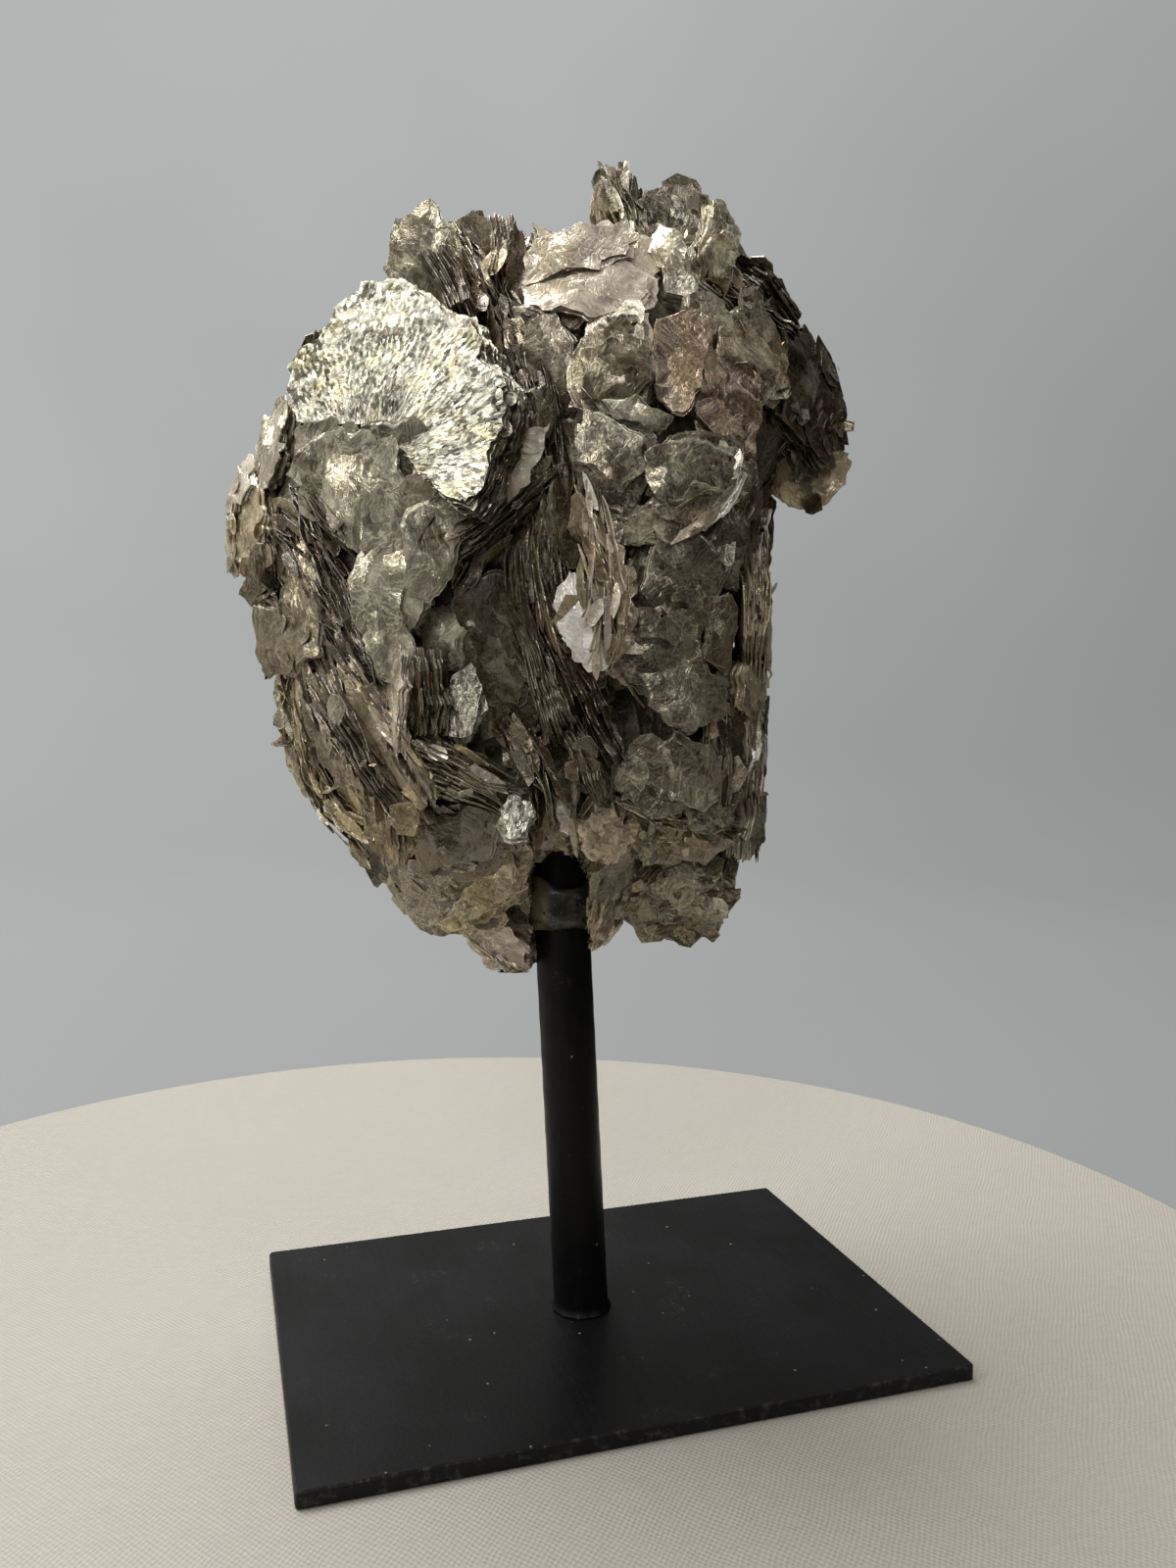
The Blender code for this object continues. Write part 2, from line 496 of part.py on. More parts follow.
def build_post(collection):
    """The post, with the bead of its weld at the foot."""
    radius = 0.5 * POST_DIAMETER
    profile = [(GAP, 0), (GAP, radius + WELD_WIDTH), (0.4 * WELD_HEIGHT, radius + 0.5 * WELD_WIDTH),
               (WELD_HEIGHT, radius), (POST_LENGTH - POST_EDGE_BREAK, radius), (POST_LENGTH, radius - POST_EDGE_BREAK),
               (POST_LENGTH, 0)]
    post = new_object("post", tube(profile, POST_SIDES), collection)
    finish(post, "post_paint", (0.02, 0.02, 0.021), 0.35)
    shade_round(post)


def glue_swell(extra):
    """How far the glue bulges past its profile at each step and direction, and how high it climbs there."""
    def swell(step, angle):
        wave = GLUE_WAVE * (math.sin(3 * angle + 0.6) + 0.7 * math.sin(5 * angle + 2.0))
        glob = max(0.0, math.cos(angle - GLUE_GLOB_ANGLE)) ** 3
        lump = max(0.0, math.cos(angle - GLUE_LUMP_ANGLE)) ** 4
        inside = step in (0, 5)
        if step in (0, 1):
            return (0.0 if inside else extra), 3 * wave - extra
        if step in (2, 3):
            return wave + GLUE_GLOB_SWELL * glob + GLUE_LUMP_SWELL * lump + extra, 2 * wave
        return (0.0 if inside else extra), 2 * wave + GLUE_GLOB_CLIMB * glob + GLUE_LUMP_CLIMB * lump + extra
    return swell


def glue_mesh(extra=0.0):
    """The glue about the post, or with some extra all round for its seat in the mica."""
    inner = SOCKET_RADIUS - 3 * extra
    outer = SOCKET_RADIUS + GLUE_LIP
    profile = [(GLUE_BOTTOM, inner), (GLUE_BOTTOM, outer), (GLUE_BOTTOM + GLUE_SHOULDER, outer + GLUE_BULGE),
               (GLUE_TOP - GLUE_SHOULDER, outer + GLUE_BULGE), (GLUE_TOP, outer), (GLUE_TOP, inner)]
    return tube(profile, POST_SIDES, glue_swell(extra))


def shade_round(obj):
    for face in obj.data.polygons:
        face.use_smooth = True
    obj.data.set_sharp_from_angle(angle=math.radians(35))


def build_glue(collection):
    glue = new_object("glue", glue_mesh(), collection)
    finish(glue, "glue", (0.34, 0.33, 0.28), 0.25)
    shade_round(glue)


def main():
    clear_scene()
    model = new_collection("mica specimen on stand")
    books = new_collection("books", hidden=True)
    socket = new_collection("socket", hidden=True)
    build_plate(model)
    build_post(model)
    build_glue(model)
    build_specimen(model, books, socket)


main()
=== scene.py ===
"""The looks of the mica specimen on its stand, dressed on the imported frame.

The specimen is built in its own frame, in millimetres: X to its right, Y to its back, Z up, turned on the
plate by SPECIMEN_TURN. Its large books are those of the frame, each made here as a stack of broken sheets,
with thin sheets, flakes and strands grown over them.
"""

import itertools
import math
import random
import zlib
from types import SimpleNamespace

import bmesh
import bpy
import numpy as np
from mathutils import Euler, Matrix, Vector


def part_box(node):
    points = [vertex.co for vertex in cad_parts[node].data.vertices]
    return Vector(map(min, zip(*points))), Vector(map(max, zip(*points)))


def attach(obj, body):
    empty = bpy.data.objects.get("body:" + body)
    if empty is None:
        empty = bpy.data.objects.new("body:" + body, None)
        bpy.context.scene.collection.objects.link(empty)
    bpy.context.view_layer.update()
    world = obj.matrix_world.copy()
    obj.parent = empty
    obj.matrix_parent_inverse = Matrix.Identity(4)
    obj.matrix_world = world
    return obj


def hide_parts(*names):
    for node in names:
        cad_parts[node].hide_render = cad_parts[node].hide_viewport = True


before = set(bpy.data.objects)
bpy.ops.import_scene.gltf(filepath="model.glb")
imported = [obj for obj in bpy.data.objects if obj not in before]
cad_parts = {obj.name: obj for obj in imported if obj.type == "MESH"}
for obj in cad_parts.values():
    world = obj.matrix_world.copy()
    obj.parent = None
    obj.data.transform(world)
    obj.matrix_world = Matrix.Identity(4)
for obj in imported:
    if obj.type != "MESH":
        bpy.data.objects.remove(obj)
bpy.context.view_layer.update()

MM = 0.001
SPECIMEN_TURN = math.radians(-17.4)

# ---------------------------------------------------------------- light and view, in metres and degrees

CAMERA_PLACE = (-0.06512, -0.20834, 0.11246)
CAMERA_TURN = (86.72, 0.07, -17.37)
CAMERA_LENS = 27.53
CAMERA_SENSOR = 36
LIGHT_AIM = (0.0, 0.0, 0.13)
# name, place, size and power
SOFTBOXES = (
    ("key", (-0.67, 0.08, 0.72), (0.42, 0.36), 2.9),
    ("top", (-0.18, 0.36, 1.05), (0.7, 0.6), 13.0),
    ("front", (-0.45, -0.75, 0.75), (0.25, 0.25), 2.0),
    ("fill", (0.60, -0.75, 0.65), (0.5, 0.5), 0.8),
)
WORLD_COLOUR = (1.0, 0.97, 0.91, 1)
WORLD_LIGHTER = (-0.62, 0.10, 0.78)
WORLD_REACH = (-0.25, 0.9)
WORLD_STRENGTH = (0.015, 0.55)
STAGE_SIDES = 128
COVE_RADIUS = 1.6
COVE_BEND = 0.9
COVE_HEIGHT = 2.4
COVE_DROP = 0.002
BACKDROP_GREY = (0.07, 0.0725, 0.0725)
BACKDROP_TINT = (0.96, 1.0, 0.99)
# Painted light on the backdrop: a glow that is brighter the further it lies along this way stands in for the
# studio light on the paper
BACKDROP_PAINTED_LIGHT_WAY = (-0.50, 0.25, 0.70)
BACKDROP_PAINTED_GLOW = (0.06, 0.44)
FLOOR_NEAR = (0.385, 0.36, 0.31)
FLOOR_FAR = (0.385, 0.365, 0.315)
CLOTH_CENTRE = (-0.026, 0.011)
CLOTH_RADIUS = 0.168
CLOTH_HEM = ((0.0, 0.0), (0.0015, -0.0006), (0.002, -0.002))  # steps outwards from the radius, and down

# ---------------------------------------------------------------- the frame's own measures

PLATE_THICKNESS = 0.0028
PLATE_HALF = (56, 40)  # in mm
POST_DIAMETER = 0.010
POST_RADIUS = 0.5 * POST_DIAMETER
POST_LENGTH = 0.100
POST_EDGE_BREAK = 0.0004
POST_FOOT = (-0.0016, -0.0006)
POST_LEAN = math.radians(2.8)
BODY_SIDES = 96
WELD_WIDTH = 0.0006
WELD_HEIGHT = 0.0012
WELD_LUMPS = 0.00012
SHAFT_START = 0.002
BRUSH_MARKS = 0.00003
GAP = 0.0003
SOCKET_RADIUS = POST_RADIUS + GAP
GLUE_BOTTOM = 0.0715
GLUE_TOP = 0.0785
GLUE_LIP = 0.0005
GLUE_BULGE = 0.0008
GLUE_WAVE = 0.00015
GLUE_DIMPLES = 0.00012
GLUE_DIMPLE_SIZE = 0.8  # in mm
GLUE_GLOB_SWELL = 0.0015
GLUE_GLOB_CLIMB = 0.0032
GLUE_LUMP_SWELL = 0.0006
GLUE_LUMP_CLIMB = 0.0026
GLUE_GLOB_ANGLE = math.radians(-12)
GLUE_LUMP_ANGLE = math.radians(205)

# In the specimen's mm from here on
POST_AT = (-4.9, -2.3)  # the post's middle inside the mica
# The notch at the front of the post: an arch in X and Z, and how deep it goes
NOTCH_CENTRE = (-5.0, 82.0)
NOTCH_HALF = (4.9, 6.3)
NOTCH_BACK = -1.5
NOTCH_RAGGED = 0.10
NOTCH_WAVE = 1.3
NOTCH_RELIEF = 0.3

# ---------------------------------------------------------------- the books and what lies over them

# The body under the books: height, and its left, right, front and back extents there
CORE_LEVELS = (
    (76, -22, 17, -7, 13),
    (83, -31, 23, -11, 20),
    (95, -41, 26, -16, 26),
    (109, -48, 27, -19, 29),
    (122, -52, 27, -20, 31),
    (136, -56, 28, -22, 32),
    (150, -57, 33, -23, 32),
    (161, -52, 40, -22, 31),
    (171, -47, 40, -19, 29),
    (181, -39, 35, -14, 26),
    (189, -30, 27, -8, 21),
    (197, -22, 20, -2, 13),
)
CORE_BOTTOM, CORE_TOP = CORE_LEVELS[0][0], CORE_LEVELS[-1][0]
CORE_SQUARENESS = 0.8  # the power of its superellipses: 1 would be round
CORE_SIDES = 220
CORE_RINGS = 110
CORE_CAPS = (0.08, 0.3, 0.55, 0.8)  # sizes of the rings that close its ends
CORE_CAP_FADE = 0.6

# Books over the back and the flanks, and small ones between the front's, as the frame's own rule spreads them
RULE_SEED = 10
RULE_TILT = 24
RULE_TAPER = 0.4
RULE_CROWD = 0.5
RULE_END_PITCH = 65
RULE_STYLES = ("plate", "plate", "torn", "glass", "ribs")
GOLDEN_ANGLE = math.pi * (3 - math.sqrt(5))
# name, how many, between which directions, sizes, thicknesses, how proud of the body, and tones
RULES = (
    ("back", 42, (4, 176), (18, 31), (6.5, 10), 2.4,
     ("olive", "smoke", "brown", "grey", "honey", "cream", "olive", "smoke", "rose")),
    ("front", 20, (190, 350), (9, 15), (3, 5), 1.0, ("brown", "dark", "smoke")),
)
# The heights and the side that part the pieces
LOWER_BELOW = 112
BACK_LOW_BELOW = 140
LEFT_OF = -6
# name, centre of the outer face, yaw, pitch, spin, size, thickness, tone and style
FRONT_BOOKS = (
    ("silver_plate", (-31.7, -23.7, 164.4), -28, 18, 0, (48, 45), 6, "silver", "silver"),
    ("crown_flake", (-27, -6, 190), -10, -4, 0, (12, 17), 3.5, "grey", "glass"),
    ("crown_blade", (-18.8, -4, 191), 28, 0, 0, (7, 22), 3, "olive", "plate"),
    ("crown_ribs", (-18.5, -12, 181), 80, 19, 0, (18, 24), 4, "smoke", "ribs"),
    ("spike", (-12.3, -9, 189), 78, -8, 0, (10, 16), 3, "smoke", "ribs"),
    ("pink_ledge_low", (1.9, -15.8, 187.3), 4, 22, 0, (24, 15), 4.5, "pearl", "plate"),
    ("pink_ledge_high", (-0.3, -12.8, 191.8), 2, 28, 0, (19, 10), 4, "pearl", "plate"),
    ("pink_chip_left", (-3, -20, 178), -5, -6, 0, (9, 5), 3, "cream", "plate"),
    ("pink_chip_right", (6, -20.5, 175), 10, 12, -12, (12, 7), 3, "pearl", "plate"),
    ("grey_panel", (-8.5, -20.5, 173), -14, 0, 5, (11, 16), 3.5, "smoke", "plate"),
    ("grey_panel_low", (-5, -22, 165), -10, -6, 0, (8, 13), 3, "smoke", "plate"),
    ("tuft", (6, -4, 200.5), 40, 0, -4, (8, 17), 4, "cream", "ribs"),
    ("tuft_chip", (9, -2, 203), 68, 0, -6, (6, 9), 2, "smoke", "ribs"),
    ("crown_right", (16.1, -5.7, 198.1), 10, 8, 0, (14, 14), 5, "smoke", "plate"),
    ("crown_right_edge", (22.5, -8, 192.5), 32, 4, -8, (10, 17), 5, "grey", "plate"),
    ("crown_right_chip", (22.5, -12, 189), 18, -4, 0, (6, 10), 6, "olive", "plate"),
    ("mirror_chip_high", (12.7, -14.5, 190.0), -12, 20, 24, (6, 12), 3, "grey", "glass"),
    ("mirror_chip_low", (15.3, -17.5, 184), 6, 6, 8, (6, 10), 3, "grey", "glass"),
    ("shoulder_crest", (27, -1, 193), 50, 24, 0, (12, 10), 5, "smoke", "ribs"),
    ("shoulder_ridge", (32, 4, 188.5), 90, 54, 0, (24, 17), 5, "brown", "ribs"),
    ("shoulder_shelf", (30, -1, 183), 88, 62, 4, (26, 17), 4, "brown", "ribs"),
    ("olive_strip", (22, -20, 174.5), 16, 12, 26, (8, 18), 3, "olive", "plate"),
    ("rose_plate", (15.4, -24.9, 168.7), 6, 6, 0, (11, 18), 3.5, "rose", "plate"),
    ("rose_plate_low", (22.2, -23.5, 162.2), 14, 3, 0, (12, 19), 3.5, "rose", "plate"),
    ("right_olive", (29.5, -16, 173), 36, 12, 12, (12, 18), 4, "olive", "plate"),
    ("dark_shoulder", (40, -6.4, 168), 50, 12, 0, (20, 26), 7, "dark", "torn"),
    ("dark_shoulder_low", (42.5, -4, 159), 56, -14, 0, (15, 16), 6, "dark", "torn"),
    ("olive_lobe", (39.6, -4.6, 153.6), 10, -24, 0, (12, 12), 5, "cream", "glass"),
    ("olive_face", (4, -27, 166), -4, 4, 0, (13, 18), 4, "olive", "glass"),
    ("grey_tongue", (8.5, -29.3, 159), 0, -5, 76, (6, 11), 2, "grey", "plate"),
    ("smoky_face", (4.1, -28, 150.5), -7, -8, 0, (13, 17), 4, "smoke", "glass"),
    ("smoky_oval", (16.9, -29.8, 150.2), 6, -6, 0, (17, 14), 4, "smoke", "glass"),
    ("smoky_shelf", (17.5, -29.5, 145.5), 12, -38, 20, (15, 6), 3, "grey", "ribs"),
    ("scallop", (10, -28, 142), 0, -20, 0, (12, 8), 3, "grey", "torn"),
    ("under_brow", (24, -21, 146.5), 26, -10, 0, (11, 15), 6, "smoke", "plate"),
    ("hanging_flake", (23, -23, 139), 20, -9, 6, (7, 13), 6, "smoke", "plate"),
    ("right_column", (10, -23, 134.5), 0, -4, 0, (13, 13), 4, "smoke", "plate"),
    ("tan_flake_long", (17.2, -24.2, 129), 16, 0, 2, (5, 19), 2.5, "olive", "plate"),
    ("tan_flake", (21.5, -24.6, 125.5), 26, -4, -4, (6, 13), 2.5, "olive", "plate"),
    ("right_grey_face", (11.5, -26, 121.8), 8, -8, -34, (17, 15), 4.5, "smoke", "plate"),
    ("right_wall", (31.8, -2, 131), 84, -1, 0, (36, 38), 5, "cream", "ribs"),
    ("right_wall_low", (31.6, -1, 102), 80, -2, 0, (34, 31), 5, "smoke", "ribs"),
    ("wall_chip", (27.6, -18.5, 117.5), 50, 0, 14, (7, 10), 6, "cream", "plate"),
    ("wall_chip_low", (29.2, -14.5, 93.5), 60, -8, -12, (7, 13), 5, "grey", "plate"),
    ("wall_ribs", (24.5, -21, 108), 62, 6, -6, (10, 20), 5, "brown", "ribs"),
    ("pale_block", (-1.5, -29.6, 127), -15, 0, 20, (8, 15), 5, "white", "torn"),
    ("cream_column", (4.3, -29.4, 130.5), 24, 2, -2, (8, 21), 5, "cream", "torn"),
    ("column_flake", (1, -27, 146), 32, 2, -4, (6, 14), 4, "honey", "plate"),
    ("column_ribs", (-3, -25.5, 144), 52, 4, 0, (8, 15), 4, "olive", "ribs"),
    ("seam_ribs_high", (-7.3, -24, 138), 66, 2, 0, (9, 22), 5, "brown", "ribs"),
    ("seam_ribs", (-4.3, -25, 120), 75, 24, 0, (9, 23), 5, "brown", "ribs"),
    ("seam_ribs_low", (2.6, -24, 105), 78, 18, 0, (9, 17), 4, "brown", "ribs"),
    ("leaf_roll", (-11.3, -32, 151), 15, -6, -43, (6.5, 16), 4, "pearl", "torn"),
    ("leaf_chip", (-6.6, -28, 160), 42, 0, 8, (5, 8), 3, "smoke", "plate"),
    ("lobe_rim", (-14, -25, 141), 92, -52, 0, (15, 20), 5, "brown", "ribs"),
    ("brown_face", (-16, -22.5, 130), -5, -12, 0, (16, 18), 4, "brown", "plate"),
    ("brown_face_low", (-12.3, -22.5, 116.5), 5, -8, 8, (16, 18), 4, "brown", "plate"),
    ("sparkle_panel", (-23.4, -24.5, 125), -25, -5, 0, (8, 12), 4, "grey", "torn"),
    ("sparkle_streak", (-21, -24, 113.5), -10, 14, -14, (7, 12), 3, "grey", "torn"),
    ("curved_strip", (-31.5, -26, 117), -56, 4, 6, (8, 20), 2, "pearl", "plate"),
    ("brown_ribs", (-28, -25.5, 116), -70, 0, 0, (11, 17), 4, "brown", "ribs"),
    ("glass_panel", (-30.2, -27.2, 137.1), -12, -3, 0, (12, 24), 4.5, "grey", "glass"),
    ("glass_panel_right", (-24.1, -29.5, 142.7), -4, -10, 0, (13, 15), 4.5, "grey", "glass"),
    ("glass_panel_left", (-43.5, -20, 153.5), -22, -5, 0, (14, 14), 5, "grey", "glass"),
    ("glass_lens", (-37.5, -25.6, 152), -18, -12, 0, (13, 13), 4, "grey", "glass"),
    ("shade_ribs", (-42, -18.5, 142), -88, -44, 0, (15, 17), 6, "brown", "ribs"),
    ("left_sheet", (-49.5, -13, 134.5), -42, 4, 13, (11, 27), 4, "olive", "plate"),
    ("left_sheet_low", (-44.5, -16, 118), -46, 0, 18, (9, 23), 4, "olive", "plate"),
    ("cream_knob", (-62.5, -2, 153), -50, 14, 0, (12, 11), 6, "pearl", "torn"),
    ("left_fringe", (-59.3, -6, 144.5), -46, 0, 4, (12, 19), 4, "cream", "torn"),
    ("left_fringe_tip", (-65, 1, 144), -66, -4, 8, (11, 15), 5, "cream", "torn"),
    ("left_tongue", (-58.5, -7, 137), -32, -18, -34, (6, 13), 4, "olive", "plate"),
    ("left_knob", (-56, -6, 159), -50, 12, 0, (12, 17), 6, "grey", "torn"),
    ("brown_shield", (-55, -9, 125.5), -40, -12, 0, (13, 14.5), 4, "olive", "glass"),
    ("left_wall", (-53, -3, 109.5), -62, -9, 0, (16, 28), 5, "cream", "ribs"),
    ("ruffle", (-52.5, -3, 104), -52, -20, 0, (8, 9), 5, "cream", "torn"),
    ("left_wall_sheet", (-43.5, -14.5, 107), -38, -14, 18, (10, 26), 4, "olive", "plate"),
    ("left_wall_foot", (-44, -8, 97), -36, -30, 0, (12, 12), 6, "smoke", "torn"),
    ("long_tongue", (-33.5, -23.0, 108), 80, 33, 0, (13, 26), 5, "brown", "ribs"),
    ("tongue_tip", (-27.2, -24, 98.5), 82, 40, 0, (10, 9), 3.5, "cream", "ribs"),
    ("short_tongue", (-20, -22, 103), 86, 61, 0, (12, 17), 4, "olive", "ribs"),
    ("chevrons", (-34.2, -20.5, 96), -58, 0, 0, (9, 16), 5, "honey", "ribs"),
    ("brown_glass", (-21, -20.4, 90.9), -6, -18, 0, (18, 14), 4.5, "brown", "glass"),
    ("lower_left_plate", (-28, -13.6, 81.8), -25, -30, 0, (15, 19), 5, "smoke", "plate"),
    ("skirt_sheet", (-16.6, -15.7, 82.8), 0, -20, 0, (10, 19), 3.5, "honey", "plate"),
    ("fan", (-15.4, -6, 73), -12, -28, 42, (8.5, 19), 6, "cream", "ribs"),
    ("silver_coin", (-11.8, -26.2, 96.2), -4, 21, 0, (7.4, 7.8), 2, "tinsel", "silver"),
    ("honey_lump", (3, -21.5, 93), 0, -12, 0, (10, 11), 5, "cream", "torn"),
    ("rose_lump", (10, -20.5, 93.5), 16, -12, 0, (8, 9), 4, "honey", "torn"),
    ("white_tab", (-3.5, -23.6, 98), -6, 0, 4, (4.5, 12), 2.5, "pearl", "plate"),
    ("bottom_ribs", (-7.2, -21.5, 100), 62, 0, 0, (7, 17), 4, "brown", "ribs"),
    ("centre_brow", (0, -22, 106.5), 0, -5, 0, (12, 14), 4, "brown", "plate"),
    ("jade_plate", (11, -24.5, 102), 2, -6, -28, (14, 11), 3.5, "smoke", "glass"),
    ("jade_plate_right", (20, -22.8, 101), 12, -4, 6, (12, 16), 4, "smoke", "glass"),
    ("under_jade", (16, -19, 91.5), 8, -20, 0, (18, 10), 5, "olive", "torn"),
    ("lobe_face", (17, -13.5, 82.5), 6, -15, 12, (13, 13), 4, "smoke", "plate"),
    ("lobe", (16.6, -7.3, 77.9), 5, -25, 0, (19, 17), 9, "olive", "torn"),
    ("lobe_side", (25.2, 0, 82), 74, -20, 0, (17, 15), 5, "smoke", "plate"),
    ("post_cheek", (4.5, -6, 76), 58, -14, 0, (10, 14), 4, "cream", "ribs"),
    ("post_cheek_left", (-13.5, -9, 80), -20, -24, 0, (8, 11), 5, "smoke", "plate"),
)
# Thin sheets that lie over the frame's books and join them, written as the books are
SHEETS = (
    ("panel_sheet", (-36, -26.2, 147.5), -16, -4, 10, (13, 17), 0.9, "grey", "glass"),
    ("panel_sheet_low", (-32.5, -27.2, 134), -16, -2, -6, (10, 19), 0.9, "grey", "glass"),
    ("panel_wisp", (-27.5, -28.6, 139), -8, -6, 24, (9, 15), 0.8, "grey", "glass"),
    ("under_plate", (-30, -27.6, 151.6), -14, -12, 8, (24, 13), 0.9, "smoke", "glass"),
    ("plate_skirt", (-22.5, -29.2, 147), -8, 0, -12, (12, 12), 0.9, "grey", "glass"),
    ("lens_sheet", (-40.5, -24.2, 152), -20, -14, 0, (15, 12), 0.9, "smoke", "glass"),
    ("olive_sheet", (4, -28.6, 166), -4, -3, 0, (11, 11.5), 0.8, "olive", "glass"),
    ("smoky_sheet", (4.5, -29.8, 151), -7, -8, 0, (11.5, 14), 0.8, "smoke", "glass"),
    ("rose_sheet", (15.4, -26.4, 168.7), 6, 6, 0, (9, 17.5), 0.8, "rose", "glass"),
    ("olive_sheet_right", (25.5, -20.5, 170.5), 26, 8, 20, (11, 17), 0.8, "olive", "glass"),
    ("brow_sheet", (-6.5, -22.6, 169), -12, -2, 10, (10, 15), 0.8, "smoke", "glass"),
    ("right_sheet", (16, -25.2, 134), 12, -6, 12, (15, 15), 0.8, "smoke", "glass"),
    ("right_sheet_low", (16, -25.2, 116), 14, -4, -18, (15, 12), 0.8, "smoke", "glass"),
    ("jade_sheet", (15.5, -24.8, 103), 8, -6, -10, (17, 12), 0.8, "smoke", "glass"),
    ("brown_sheet", (-15, -24.5, 124), 0, -10, 8, (15, 20), 0.9, "brown", "glass"),
    ("brown_sheet_low", (-22, -21.8, 92.5), -10, -16, 10, (17, 12), 0.9, "brown", "glass"),
    ("crown_sheet", (-27, -8.6, 189), -10, -10, 8, (12.5, 18), 0.9, "grey", "glass"),
    ("ledge_sheet", (1.9, -17.2, 188.0), 4, 22, 0, (19.5, 12), 1.2, "pearl", "plate"),
    ("ledge_sheet_low", (3.9, -18.2, 183.5), 6, 26, 0, (21.5, 13.5), 1.2, "pearl", "plate"),
    ("rose_sheet_low", (22.6, -25.0, 162.0), 14, 3, 0, (12, 20), 0.8, "rose", "glass"),
    ("chip_sheet", (8.5, -30.4, 159), 0, -5, 0, (9, 5.5), 0.8, "grey", "glass"),
    ("oval_sheet", (16.4, -30.9, 150.2), 6, -6, 0, (14.5, 12.5), 0.8, "smoke", "glass"),
    ("brown_lens", (-26.5, -27.2, 116.5), -14, -2, 0, (6.5, 12.5), 1.4, "brown", "ribs"),
    ("glint_sheet", (-20.5, -25.6, 115), -12, 12, 0, (6, 12), 0.8, "steel", "glass"),
    ("facet_left", (-33, -27.6, 143), -16, -4, 0, (8, 24), 0.8, "grey", "glass"),
    ("facet_right", (-26, -29.9, 139.5), -8, -6, 0, (11.5, 15), 0.8, "grey", "glass"),
    ("facet_low", (-29.5, -27.8, 127), -14, -4, 0, (10.5, 19.5), 0.8, "grey", "glass"),
    ("fan_sheet", (-14.5, -11.0, 72.5), -12, -24, 0, (12, 12), 1.6, "pearl", "ribs"),
    ("skirt_front", (-21, -16.5, 80), -14, -22, 0, (15, 12), 0.9, "honey", "ribs"),
    ("tongue_a", (-33, -26.4, 107.5), -20, -4, 34, (3.4, 28), 1.6, "cream", "ribs"),
    ("tongue_c", (-36.8, -25.2, 109), -24, -2, 30, (3.2, 21), 1.4, "honey", "ribs"),
    ("tongue_e", (-40.5, -23.0, 108.5), -28, -2, 26, (3.0, 20), 1.4, "olive", "ribs"),
    ("lower_sheet", (-26, -16.5, 84), -20, -28, 14, (15, 14), 0.9, "smoke", "glass"),
)
